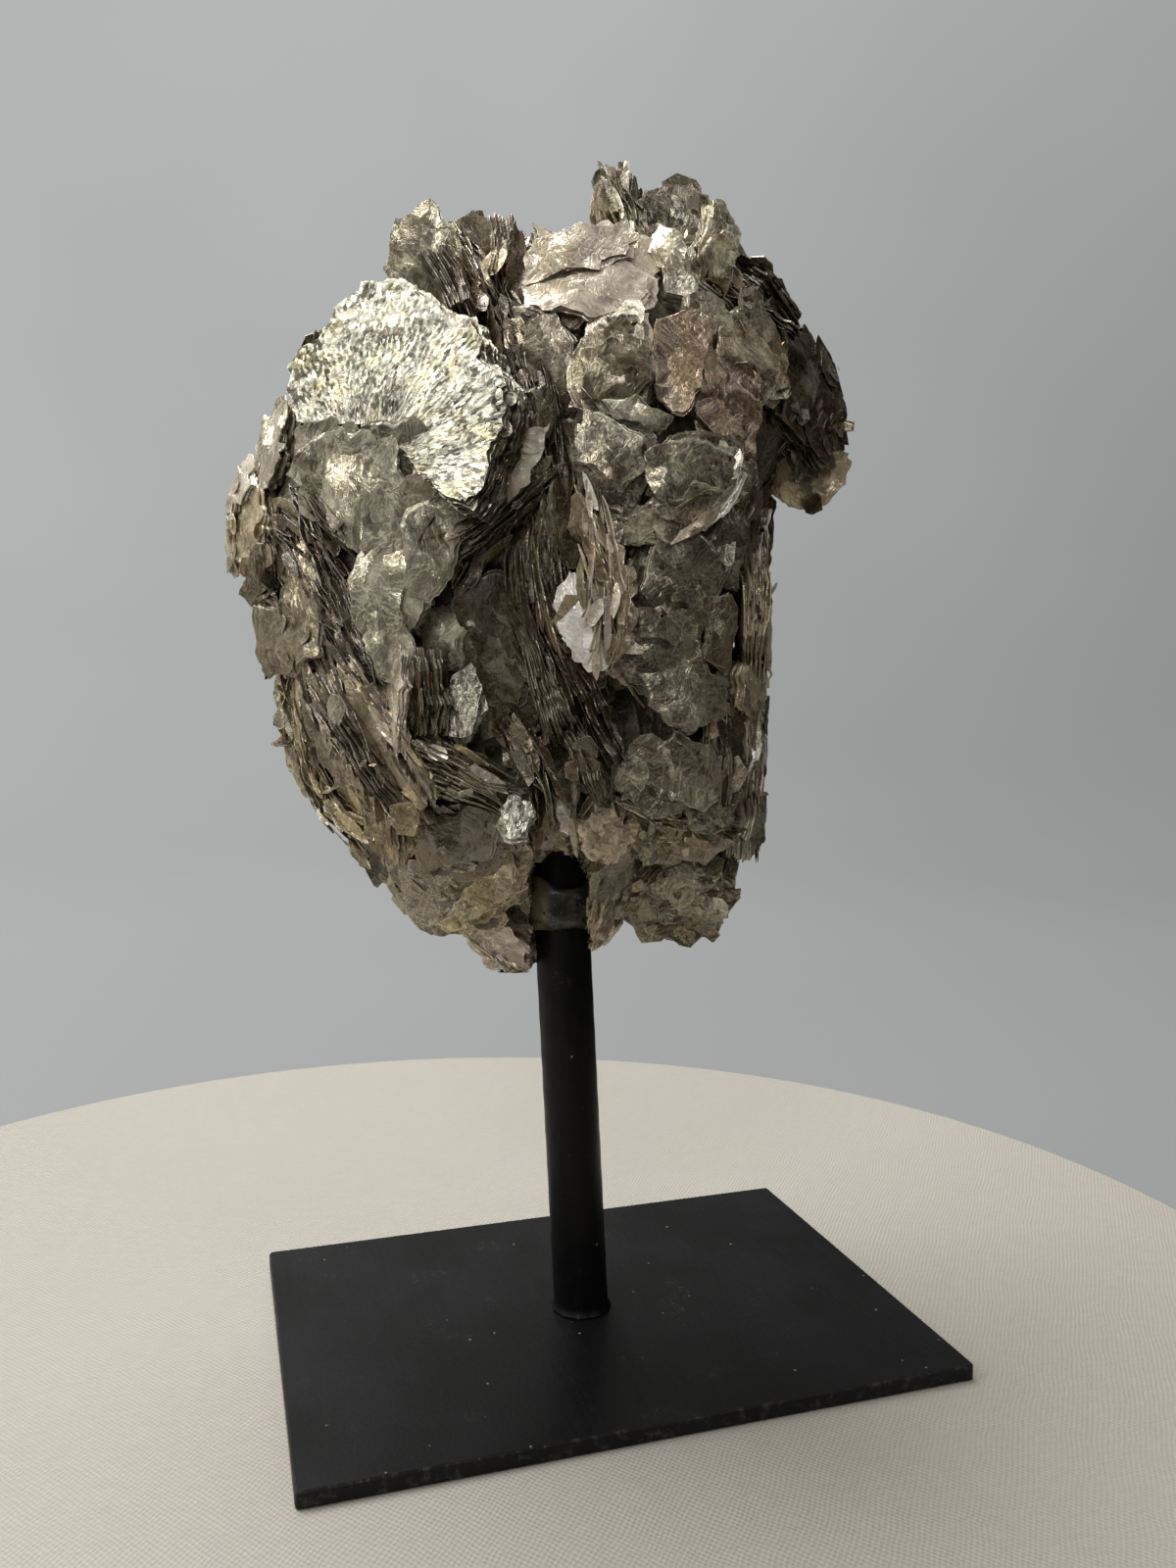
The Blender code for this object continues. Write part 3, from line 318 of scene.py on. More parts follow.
# Corners of the sheets whose outlines are drawn after the photo, right and up from the middle of the face
OUTLINES = {
    "silver_plate": ((-11, 22.5), (-6, 22), (0.5, 19.5), (4.5, 17), (9.5, 13), (13, 12), (17, 6.5),
        (22.5, -1), (24, -7), (22, -18.5), (20, -22.5), (16, -21), (9, -15.5), (3, -10), (-5.5, -6.5),
        (-14.5, -4.5), (-20, -2), (-23.5, 3.5), (-24, 8), (-22, 11.5), (-17.5, 11.5), (-15.5, 18)),
    "crown_flake": ((-5.5, 6), (-3.5, 8.5), (-0.5, 7), (3.5, 8), (6, 3), (5.5, -5), (4, -9), (-4, -8),
        (-6, 1.5)),
    "crown_blade": ((-3.5, 8), (-1, 9.5), (1.5, 8.5), (3.5, 5.5), (3.5, -2.5), (2, -9.5), (-2, -8), (-3, 2)),
    "pink_ledge_high": ((-9.5, 4), (-6, 2), (0.5, 4), (9.5, 3.5), (7.5, 0.5), (3.5, -1.5), (-4.5, -4),
        (-8, -2.5)),
    "pink_ledge_low": ((-11.5, 3), (2.5, 7), (9.5, 5.5), (11.5, 1), (10, -3), (6, -5), (-3.5, -6),
        (-10.5, -2.5)),
    "rose_plate": ((-4, 6.5), (0.5, 9), (4.5, 8), (5, 4.5), (4, -0.5), (3.5, -5), (1, -9), (-3, -8),
        (-5, -4)),
    "rose_plate_low": ((-3.5, 7), (2.5, 8), (6, 4.5), (6.5, 0), (2, -8), (-2, -5), (-6.5, -2), (-4, 1.5)),
    "smoky_face": ((-6, 8), (0, 8.5), (6, 6.5), (7, 0), (3, -6), (-0.5, -8.5), (-5, -5.5), (-6.5, 0.5)),
    "smoky_oval": ((-7.5, 3), (-2.5, 6), (3.5, 6), (7.5, 3.5), (7, -1.5), (3, -5.5), (-3, -6), (-7.5, -3.5)),
    "crown_right": ((-8, 2.5), (-6, 5), (-3, 7), (0.5, 7), (5.5, 5), (8, 1), (6, -6), (1, -8), (-7.5, -3)),
    "glass_panel": ((-5, 11), (-0.5, 12), (4, 8.5), (6, 3.5), (6, -3), (4.5, -8.5), (1, -12), (-3, -12),
        (-6, 3.5)),
    "glass_panel_right": ((-7, 5), (-2, 8), (4, 3), (7.5, 1.5), (4.5, -2.5), (1, -7.5), (-3.5, -8),
        (-7.5, -5)),
    "lower_left_plate": ((-7, 6), (0, 10.5), (5.5, 7), (8.5, 0.5), (5.5, -6.5), (1, -10.5), (-2.5, -9.5),
        (-8.5, -0.5)),
    "skirt_sheet": ((-7.5, 0.5), (-2.5, 5.5), (3.5, 9), (7.5, 8.5), (6.5, 2.5), (3, -4), (-2, -8),
        (-7.5, -9)),
    "brown_glass": ((-9, 4), (-3, 7), (3, 7.5), (7.5, 4), (9, -1), (6, -6.5), (0, -7.5), (-5.5, -6),
        (-8.5, -1.5)),
    "lobe": ((-10, 0.5), (-7.5, 6.5), (-2, 8.5), (5, 7.5), (10, 3.5), (8.5, -2), (6.5, -6.5), (1, -8.5),
        (-8, -4.5)),
    "dark_shoulder": ((-7.5, 11), (-0.5, 13.5), (7, 12), (12, 8.5), (11.5, 1.5), (8, -8.5), (-0.5, -13.5),
        (-12, -6)),
    "olive_lobe": ((-7, 2.5), (-3, 5.5), (2.5, 5), (7, 3.5), (6.5, -0.5), (3.5, -4.5), (-1.5, -5.5),
        (-5.5, -3.5)),
    "rose_sheet": ((-5, -3), (-4.5, -6.5), (-2.5, -8.5), (-0.5, -9.5), (1, -8), (2.5, -5), (3, -1.5),
        (4, 2.5), (4, 6), (2, 8), (-0.5, 7.5), (-4.5, 6), (-5, 1.5)),
    "rose_sheet_low": ((-4.5, 3.5), (-6, -1), (-5.5, -2.5), (-3.5, -4.5), (0, -7), (4.5, -9), (5, -5),
        (6, 0.5), (2, 3.5), (-1, 7), (-3.5, 11)),
    "olive_sheet": ((-5, -4), (-1, -5.5), (3.5, -4), (6, -1.5), (5.5, 4.5), (0.5, 6), (-5, 3.5)),
    "chip_sheet": ((-4, -1), (2.5, -2.5), (4, -0.5), (-1, 3), (-5, 0)),
    "smoky_sheet": ((-6.5, 1), (-3.5, -1), (1, -4), (2.5, -2.5), (5, 0), (4.5, 4.5), (-1, 7.5), (-5.5, 10),
        (-6.5, 5)),
    "oval_sheet": ((-7.5, -1), (-5.5, -4.5), (0, -8), (2.5, -7), (5.5, -4), (7, -1), (6.5, 2.5), (2.5, 4.5),
        (-3, 4.5), (-7.5, 2.5)),
    "ledge_sheet": ((-12, -5.5), (-8, -4), (0, -3), (5.5, -0.5), (7, 4), (5, 6.5), (-1.5, 5.5), (-9, 4),
        (-12.5, -1)),
    "ledge_sheet_low": ((-14, -5.5), (-10.5, -7.5), (-4, -8.5), (4, -6.5), (7.5, -3), (7.5, 1), (3, 5),
        (-3.5, 3), (-14, -1.5)),
    "brown_lens": ((-4.5, -3), (-2.5, -7), (0, -8), (1.5, -5), (2, 0.5), (0.5, 4.5), (-3, 4), (-4.5, 2)),
    "glint_sheet": ((-2.5, -1), (-1.5, -6), (2, -6), (3, -2), (3.5, 2), (1.5, 6), (-1.5, 4)),
    "facet_left": ((-3.5, -4), (0.5, -10.5), (4.5, 1.5), (3, 13.5), (-2.5, 11.5)),
    "facet_right": ((-3, -7), (1, -9.5), (5, -4), (8.5, 3), (4.5, 5.5), (-2, 5)),
    "facet_low": ((-6.5, -0.5), (-4.5, -8.5), (0.5, -10), (3.5, -7), (0.5, -0.5), (-2.5, 4.5), (-7, 9.5)),
    "lens_sheet": ((-5.5, -4.5), (0.5, -6.5), (5.5, -4), (7, 2), (2.5, 5.5), (-4, 5), (-8, 1.5)),
    "fan_sheet": ((-5, -1.5), (-2.5, -5.5), (1, -8), (4.5, -5.5), (5, -2.5), (2.5, 1), (0, 4.5), (-4, 5),
        (-7, 2)),
    "skirt_front": ((-6.5, -4), (-4.5, -6.5), (0.5, -4.5), (6.5, 0.5), (10.5, 4.5), (9, 9), (3.5, 6),
        (-2, 1)),
}

TONES = {  # linear colour, and how silvery
    "silver": (0.30, 0.29, 0.235, 0.60),
    "tinsel": (0.75, 0.73, 0.62, 0.60),
    "white": (0.90, 0.87, 0.80, 0.02),
    "pearl": (0.58, 0.51, 0.405, 0.06),
    "cream": (0.43, 0.355, 0.225, 0.06),
    "grey": (0.36, 0.33, 0.235, 0.24),
    "honey": (0.27, 0.205, 0.100, 0.10),
    "olive": (0.150, 0.118, 0.056, 0.13),
    "rose": (0.178, 0.104, 0.050, 0.20),
    "steel": (0.20, 0.185, 0.15, 0.42),
    "smoke": (0.156, 0.128, 0.080, 0.26),
    "brown": (0.066, 0.040, 0.013, 0.12),
    "dark": (0.046, 0.029, 0.012, 0.15),
}
# In mm: sheet thickness, how far sheets stop short of each other, length of the bites out of their edges,
# grooves between them, height of the folds on the face and of its fine crinkles, and how far it bows.
# The last is how much the stack fans open, as a share.
STYLES = {
    "silver": dict(sheet=0.45, short=1.6, bite=2.6, groove=0.30, fold=0.20, crinkle=0.05, bow=1.0, fan=0.0),
    "plate": dict(sheet=0.50, short=1.8, bite=5.0, groove=0.35, fold=0.30, crinkle=0.10, bow=0.7, fan=0.1),
    "glass": dict(sheet=0.55, short=1.0, bite=8.0, groove=0.30, fold=0.22, crinkle=0.06, bow=0.9, fan=0.0),
    "torn": dict(sheet=0.42, short=3.0, bite=3.2, groove=0.55, fold=0.45, crinkle=0.16, bow=1.2, fan=0.3),
    "ribs": dict(sheet=0.36, short=2.4, bite=4.0, groove=0.60, fold=0.35, crinkle=0.10, bow=1.5, fan=0.5),
}
SHEET_SIDES = 6
CHIP_SIDES = 5
CHIP_SIZE = 7
SIDE_WANDER = 0.28  # how far a corner strays along the outline, of the way between two corners
CORNER_REACH = (0.94, 1.24)
BREAK_PLACE = (0.38, 0.62)
BREAK_SHARE = 0.13  # how far a snapped side stands off its line, of its length
BREAK_OVER = 1.35  # sides longer than this many spacings snap
FACE_SPACING = 0.90
BACK_SPACING = 1.55
MOST_SHEETS = 13
FULL_SIZE = 13  # books narrower than this are broken and folded less, in proportion
LEAST_REACH = 0.3  # how far every sheet reaches at least, of the outline
SHEET_ROOT = 0.86  # size of a book's back, of the outline
FACE_INSET = 0.28
EDGE_INSET = 0.03
LEAF_APART = 7.0  # how far apart in the material's patterns two books lie
SILVER_HEART = (-2, -14)  # where the feathers of silver sheets run together
RIM = 0.5  # what the edge mark reads at a sheet's upper rim, along which the material paints a highlight: its face is 0 and its wall 1
SHADES = (0.88, 1.14)  # how dark and how light a book's tone may turn

# Bundles of thin sheets seen on edge: name, path in mm, the way they face (yaw and pitch), number, spread,
# how much wider they get along the path, height and tones
BUNDLES = (
    ("seam", ((-12, -16, 183), (-8.6, -20.5, 172.5), (-6.2, -24.5, 160.5), (-4.8, -26, 150),
        (-6.8, -26.5, 139), (-5.4, -27, 129.5), (-2.3, -27, 120), (1.6, -26.5, 111), (5, -25, 104)),
     10, 5, 64, 3.6, 0, 2.4, ("brown", "dark", "dark", "brown", "olive")),
    ("seam_back", ((-17, -13, 186), (-13, -17, 176), (-10.5, -22, 164), (-9.5, -23, 150), (-9, -23.5, 138),
        (-7, -24, 124)),
     35, 0, 34, 4, 0, 2.6, ("dark", "brown")),
    ("fold", ((-55, -9, 147), (-50.5, -12, 143), (-45.6, -16, 137.5), (-41.4, -20, 130), (-36, -23, 121),
        (-30, -25, 112)),
     -25, 0, 50, 4.2, 0, 2.2, ("brown", "dark", "dark", "olive", "dark", "brown")),
    ("fold_high", ((-50, -14, 151), (-45, -18, 142), (-40, -21, 133), (-35.5, -23.5, 124), (-32, -25, 116)),
     -20, 0, 20, 2, 0, 2, ("dark", "brown", "dark")),
    ("fold_low", ((-54, -9, 137), (-49, -13, 128), (-44, -17, 119), (-39, -20, 110)),
     -35, 0, 30, 4, 0, 2, ("olive", "brown", "brown", "dark")),
    ("strands", ((-40.5, -22.8, 121.4), (-35.2, -25.6, 115.6), (-30, -27.4, 108.6), (-25.9, -27.2, 102.1),
        (-24.5, -25.8, 97.6)),
     -14, -6, 26, 1.6, 0, 1.6, ("cream", "pearl", "honey", "cream", "brown")),
    ("strands_cross", ((-27.9, -26.8, 108.6), (-21.6, -26.8, 105.2), (-15.6, -26, 101.2)),
     -6, 0, 16, 1.3, 0, 1.4, ("cream", "olive", "pearl", "brown")),
    ("strands_left", ((-45.6, -20.5, 114.9), (-40.2, -22.6, 105.4), (-36.6, -22.4, 98.8)),
     -28, -8, 16, 1.8, 0, 1.6, ("pearl", "brown", "cream")),
    ("tongues", ((-41, -20, 119), (-34.5, -24, 111), (-29.5, -26, 103.5), (-25.5, -26.5, 97.5)),
     -10, -20, 24, 3, 0.2, 2, ("cream", "honey", "olive", "brown")),
    ("short_tongues", ((-31, -24, 112), (-24, -25, 107), (-17, -25, 103), (-11.5, -25.5, 100.5)),
     0, 20, 22, 2.2, 0, 1.8, ("olive", "brown", "dark", "cream")),
    ("rim", ((-6, -28, 151), (-9, -28, 147), (-13.5, -28.5, 143), (-17.5, -27.5, 138.5), (-20, -26.5, 132)),
     20, 0, 26, 1.8, 0, 1.6, ("brown", "olive", "dark")),
    ("crown", ((-22, -6.5, 196), (-18.5, -10, 190), (-15.5, -14, 182.5), (-12.8, -18, 175)),
     20, 10, 22, 2.2, 0.3, 2.2, ("smoke", "olive", "brown")),
    ("right_strips", ((30, -12, 148), (29.8, -13, 134), (29.3, -14, 120), (28.9, -14, 107), (27.9, -14, 91)),
     55, 0, 34, 3, 0, 1.5, ("white", "pearl", "cream", "white", "smoke")),
    ("shoulder", ((22, -8, 191), (28, -6, 186), (34, -4, 181), (40, -2, 175)),
     30, 40, 24, 3.6, 0.3, 1.8, ("smoke", "brown", "cream")),
    ("left_low", ((-54, -6, 119.5), (-51, -8, 111), (-48, -10, 102), (-43.5, -12, 95), (-37, -15, 90)),
     -35, 0, 28, 4, -0.2, 1.8, ("honey", "cream", "brown", "olive")),
    ("right_low", ((5, -23.5, 98), (13, -23.5, 95), (20, -21.5, 94), (26, -17.5, 92)),
     10, -20, 14, 2.2, 0, 1.6, ("brown", "honey")),
    ("middle_low", ((-13, -24, 114), (-9, -25, 106), (-6, -25, 98), (-4, -23, 91)),
     0, 0, 22, 3.4, 0, 1.8, ("olive", "brown", "dark")),
    ("chevron_fan", ((-37.5, -19, 104), (-35, -21, 97), (-33, -20.5, 89)),
     -20, 0, 18, 2.6, -0.4, 1.6, ("honey", "cream")),
    ("tuft_strands", ((4.5, -5.5, 207.5), (6.8, -7, 200), (9, -9, 192)),
     10, 5, 20, 2, -0.2, 1.8, ("grey", "smoke", "grey")),
    ("arc", ((24.1, -27.9, 153.5), (24.1, -28.9, 149.4), (22, -29.9, 145.6), (18.9, -30.5, 142.6),
        (15.3, -30.1, 140.9)),
     22, -12, 16, 0.8, 0, 1.6, ("pearl", "white", "cream", "pearl")),
    ("column", ((-0.5, -29.5, 148), (2.2, -30.5, 139), (3.8, -31, 129), (2.2, -30.5, 119.5)),
     12, 0, 30, 3, 0.2, 1.4, ("cream", "pearl", "honey", "pearl")),
    ("fan", ((-23.5, -7.5, 76.5), (-19.5, -8.5, 73), (-15, -9, 69.8), (-10.6, -9, 66.4)),
     0, -15, 44, 1.9, 1.1, 3, ("white", "pearl", "pearl", "honey")),
)
STRAND_LENGTH = (0.15, 0.55)  # of the whole path
STRAND_STEP = 0.9
STRAND_RISE = (-1.1, 0.7)
STRAND_END_RISE = (-0.3, 0.6)
STRAND_HEIGHT = (0.5, 1.2)  # of the bundle's height
STRAND_LEAN = 0.45
STRAND_HALF = (0.03, 0.12)
STRAND_VARIES = 0.35
BLADES_PER_STRAND = 0.55
BLADE_SIZE = ((4.0, 11.0), (0.9, 2.6))
BLADE_ROLL = 0.65
BLADE_YAW = 0.16
BLADE_RISE = (-0.6, 0.5)
BLADE_SHADES = (0.75, 1.5)
BLADE_THICK = 0.12
BLADE_CORNERS = 10
PATH_STEP = 0.5
PATH_WINDOW = 13

LOOSE_PER_CM2 = 4.5
LOOSE_ON_PEARL = 0.35  # share of them that pearl books keep
LOOSE_SIZE = (1.4, 11)
LOOSE_THICK = 0.10
LOOSE_VARIES = 0.2
LOOSE_CORNERS = 8
# how many, sizes, corners, thickness, how far they lean off the surface, and the seed
FLAKES = (
    (700, (2.5, 7.5), 8, 0.14, 0.18, 5),
    (1200, (0.7, 2.0), 6, 0.10, 0.40, 6),
)
FLAKE_SINK = 0.1
FLAKE_SHADES = (0.75, 1.2)
FLAKE_TONES = {"grey": 3, "smoke": 3, "olive": 4, "rose": 2, "brown": 4, "dark": 2, "honey": 2, "cream": 2,
               "pearl": 1}
CLEAN_TONES = ("silver", "tinsel", "pearl")  # few flakes lie on these
POST_CLEAR = 9  # no flakes are nearer to the post than this
# Thin sheets: tilt in degrees, curl and waves of their size, width of the rim's painted highlight, size of
# the underside, and how far apart in the material's patterns they may lie
SHEET_TILT = 4
SHEET_CURL = 0.06
SHEET_WAVES = 0.018
SHEET_HIGHLIGHT_RIM = 0.30
SHEET_UNDER = 0.985
SHEETS_APART = 700


# ---------------------------------------------------------------- numbers that look random


def seed_of(name):
    return zlib.crc32(name.encode()) % 100003


def lattice(seed, *cells):
    """A repeatable number from 0 to 1 for each cell of a lattice, by an integer hash."""
    mixed = np.full(np.shape(cells[0]), (seed * 374761393 + 11) & 0xFFFFFFFF, dtype=np.uint32)
    for prime, cell in zip((668265263, 2246822519, 3266489917), cells):
        mixed ^= (cell.astype(np.int64) & 0xFFFFFFFF).astype(np.uint32) * np.uint32(prime)
        mixed = (mixed ^ (mixed >> np.uint32(15))) * np.uint32(2654435761)
    return (mixed ^ (mixed >> np.uint32(13))) / 2**32


def noise(seed, *coords):
    """Smooth noise from -1 to 1 over any number of coordinates."""
    coords = np.broadcast_arrays(*coords)
    cells = [np.floor(c) for c in coords]
    shares = [(c - f) ** 2 * (3 - 2 * (c - f)) for c, f in zip(coords, cells)]
    total = np.zeros(coords[0].shape)
    for corner in itertools.product((0, 1), repeat=len(coords)):
        weight = np.ones(coords[0].shape)
        for share, far in zip(shares, corner):
            weight = weight * (share if far else 1 - share)
        total += weight * lattice(seed, *[cell + far for cell, far in zip(cells, corner)])
    return 2 * total - 1


def ragged(seed, along, wavelength=1.8, octaves=3):
    """Noise along a line with finer and finer detail, for broken edges."""
    total, size = 0.0, 1.0
    for octave in range(octaves):
        total = total + size * noise(seed + 31 * octave, along / wavelength, 0.0)
        wavelength, size = wavelength * 0.45, size * 0.6
    return total


# ---------------------------------------------------------------- meshes

COS_TURN, SIN_TURN = math.cos(SPECIMEN_TURN), math.sin(SPECIMEN_TURN)
TURN = np.array(((COS_TURN, -SIN_TURN, 0), (SIN_TURN, COS_TURN, 0), (0, 0, 1)))


def to_stand(points):
    """From the specimen's mm to the frame's metres."""
    return points @ (TURN.T * MM)


def from_stand(points):
    """From the frame's metres to the specimen's mm."""
    return points @ (TURN / MM)


def clear_notch(points):
    """Presses what would cover the notch back behind the post's face."""
    x, y, z = points.T
    above = np.maximum(0, z - NOTCH_CENTRE[1]) / NOTCH_HALF[1]
    edge = 1 + NOTCH_RAGGED * noise(5, x / NOTCH_WAVE, z / NOTCH_WAVE)
    inside = (np.hypot((x - NOTCH_CENTRE[0]) / NOTCH_HALF[0], above) < edge) & (y < NOTCH_BACK)
    points = points.copy()
    points[inside, 1] = NOTCH_BACK + NOTCH_RELIEF * noise(6, points[inside, 0], points[inside, 2])
    return points


def keep_in_box(points):
    """Nothing reaches outside the frame's own box."""
    low, high = (np.array(corner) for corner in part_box("mica_crystal"))
    return np.clip(points, low, high)


def new_object(name, data):
    """An object with its mesh, light or camera, put in the scene."""
    obj = bpy.data.objects.new(name, data)
    bpy.context.scene.collection.objects.link(obj)
    return obj


def ring_faces(rings, count):
    """Quads between consecutive rings of points."""
    i = np.arange(count)
    j = (i + 1) % count
    first = np.arange(rings - 1)[:, None] * count
    return np.stack((first + j, first + i, first + count + i, first + count + j), -1).reshape(-1, 4)


def cap_faces(ring_start, centre, count, outward):
    """Triangles between a ring and the point at its middle."""
    i = np.arange(count) + ring_start
    j = (np.arange(count) + 1) % count + ring_start
    middle = np.full(count, centre)
    return np.stack((i, j, middle) if outward else (j, i, middle), -1)


class Heap:
    """Vertices and faces that are gathered before they become one piece."""

    CREASE = math.radians(38)

    def __init__(self):
        self.points, self.tones, self.leaves, self.edges, self.quads, self.tris = [], [], [], [], [], []
        self.count = 0

    def add(self, points, tones, leaves, edges, quads, tris=None):
        """Points (n, 3) in the specimen's mm, tones (n, 4), leaf coordinates (n, 3) and edge marks (n)."""
        count = len(points)
        self.points.append(points)
        self.tones.append(np.broadcast_to(tones, (count, 4)))
        self.leaves.append(leaves)
        self.edges.append(np.broadcast_to(edges, (count,)))
        self.quads.append(quads + self.count)
        if tris is not None:
            self.tris.append(tris + self.count)
        self.count += count

    def piece(self, name, material):
        """The heap as one object on the stand."""
        points = keep_in_box(to_stand(clear_notch(np.concatenate(self.points))))
        quads, tris = np.concatenate(self.quads), np.concatenate(self.tris)
        corners = np.concatenate((quads.ravel(), tris.ravel())).astype(np.int32)
        starts = np.concatenate((np.arange(len(quads)) * 4, quads.size + np.arange(len(tris)) * 3))
        mesh = bpy.data.meshes.new(name)
        mesh.vertices.add(len(points))
        mesh.vertices.foreach_set("co", points.astype(np.float32).ravel())
        mesh.loops.add(len(corners))
        mesh.loops.foreach_set("vertex_index", corners)
        mesh.polygons.add(len(starts))
        mesh.polygons.foreach_set("loop_start", starts.astype(np.int32))
        mesh.update(calc_edges=True)
        for label, kind, field, values in (("tone", "FLOAT_COLOR", "color", self.tones),
                                           ("leaf", "FLOAT_VECTOR", "vector", self.leaves),
                                           ("edge", "FLOAT", "value", self.edges)):
            layer = mesh.attributes.new(label, kind, "POINT")
            layer.data.foreach_set(field, np.concatenate(values).astype(np.float32).ravel())
        mesh.polygons.foreach_set("use_smooth", np.ones(len(mesh.polygons), bool))
        mesh.set_sharp_from_angle(angle=self.CREASE)
        mesh.materials.append(material)
        obj = new_object(name, mesh)
        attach(obj, "root")
        return obj


# ---------------------------------------------------------------- the books


def sheet_axes(yaw, pitch, spin):
    """Right, up and outward directions of a book's sheets, from its angles in degrees."""
    yaw, pitch, spin = (math.radians(a) for a in (yaw, pitch, spin))
    outward = Vector((math.sin(yaw) * math.cos(pitch), -math.cos(yaw) * math.cos(pitch), math.sin(pitch)))
    right = Vector((math.cos(yaw), math.sin(yaw), 0.0))
    turn = Matrix.Rotation(spin, 3, outward)
    return np.array((turn @ right, turn @ outward.cross(right), outward))


def sheet_outline(name, size):
    """A book's outline: its own from the table, or else uneven corners about an ellipse."""
    if name in OUTLINES:
        return OUTLINES[name]
    rng = random.Random(name)
    sides = SHEET_SIDES if min(size) > CHIP_SIZE else CHIP_SIDES
    corners = []
    for i in range(sides):
        angle = math.tau * (i + rng.uniform(-SIDE_WANDER, SIDE_WANDER)) / sides
        reach = rng.uniform(*CORNER_REACH)
        corners.append((0.5 * size[0] * reach * math.cos(angle), 0.5 * size[1] * reach * math.sin(angle)))
    return corners


def break_sides(corners, longest, rng):
    """The outline with each long side snapped in two, over and over, off its line."""
    points = [Vector(corner) for corner in corners]
    while True:
        broken = []
        for here, ahead in zip(points, points[1:] + points[:1]):
            broken.append(here)
            side = ahead - here
            if side.length > longest:
                across = Vector((-side.y, side.x)) * rng.uniform(-BREAK_SHARE, BREAK_SHARE)
                broken.append(here + side * rng.uniform(*BREAK_PLACE) + across)
        if len(broken) == len(points):
            return np.array(points)
        points = broken


def steps_along(seed, arc, length):
    """A number from 0 to 1 that jumps at uneven places along an outline."""
    return lattice(seed, np.floor(arc / length + 0.6 * noise(seed + 1, arc / (2.3 * length))))


def sheet_reaches(reach, arc, sheets, short, bite, seed, rng):
    """How far each sheet of a book reaches from its middle, all round its broken outline."""
    reaches = []
    for i in range(sheets):
        share = rng.uniform(0.05, 1.0) * (1.0 if i < 0.4 * sheets else 0.6)
        bites = steps_along(seed + 7 * i, arc, bite) ** 2 + 0.2 * steps_along(seed + 7 * i + 3, arc, 1.3)
        reaches.append(reach - short * (share * 0.8 + 0.9 * bites - 0.35))
    return np.maximum(np.array(reaches), LEAST_REACH * reach)


def book_rings(reach, reaches, across, depth, thick, groove, rng):
    """Radii, depths and edge marks of a book's rings: out over its face, then down its broken edges."""
    sheets = len(reaches)
    radii = [reaches[0] * j / (across + 0.6) for j in range(1, across)] + [reaches[0] - FACE_INSET]
    depths, marks = [0.0] * across, [0.0] * across
    for i in range(sheets):
        under = np.minimum(reaches[i], reaches[min(i + 1, sheets - 1)])
        radii += [reaches[i], reaches[i] - EDGE_INSET, under - groove * rng.uniform(0.3, 1.2)]
        depths += [i * depth, (i + 0.66) * depth, (i + 0.84) * depth]
        # Each sheet's upper rim takes the mark along which the material paints a highlight
        marks += [RIM, 1.0, 1.0]
    radii.append(reach * SHEET_ROOT)
    return np.maximum(np.array(radii), 0.05), np.array(depths + [thick]), np.array(marks + [1.0])


def face_relief(u, v, along, aside, half, small, look, style, seed):
    """The folds and crinkles of a book's face."""
    folds = 1 - 2 * np.abs(noise(seed + 8, along * half / 3.4, aside / 6.0))
    relief = look["fold"] * small * (folds + 0.6 * noise(seed + 9, u / 3.1, v / 3.1))
    if style == "silver":
        right, up = u - SILVER_HEART[0], v - SILVER_HEART[1]
        angle, away = np.arctan2(up, right), np.hypot(right, up)
        feather = noise(seed + 5, 9 * angle + 0.5 * noise(seed + 4, u / 4, v / 4), away / 6)
        relief = relief + look["crinkle"] * (1.2 * feather + 0.8 * noise(seed + 6, u / 1.6, v / 1.6))
    return relief + look["crinkle"] * noise(seed + 10, u / 1.1, v / 1.5)


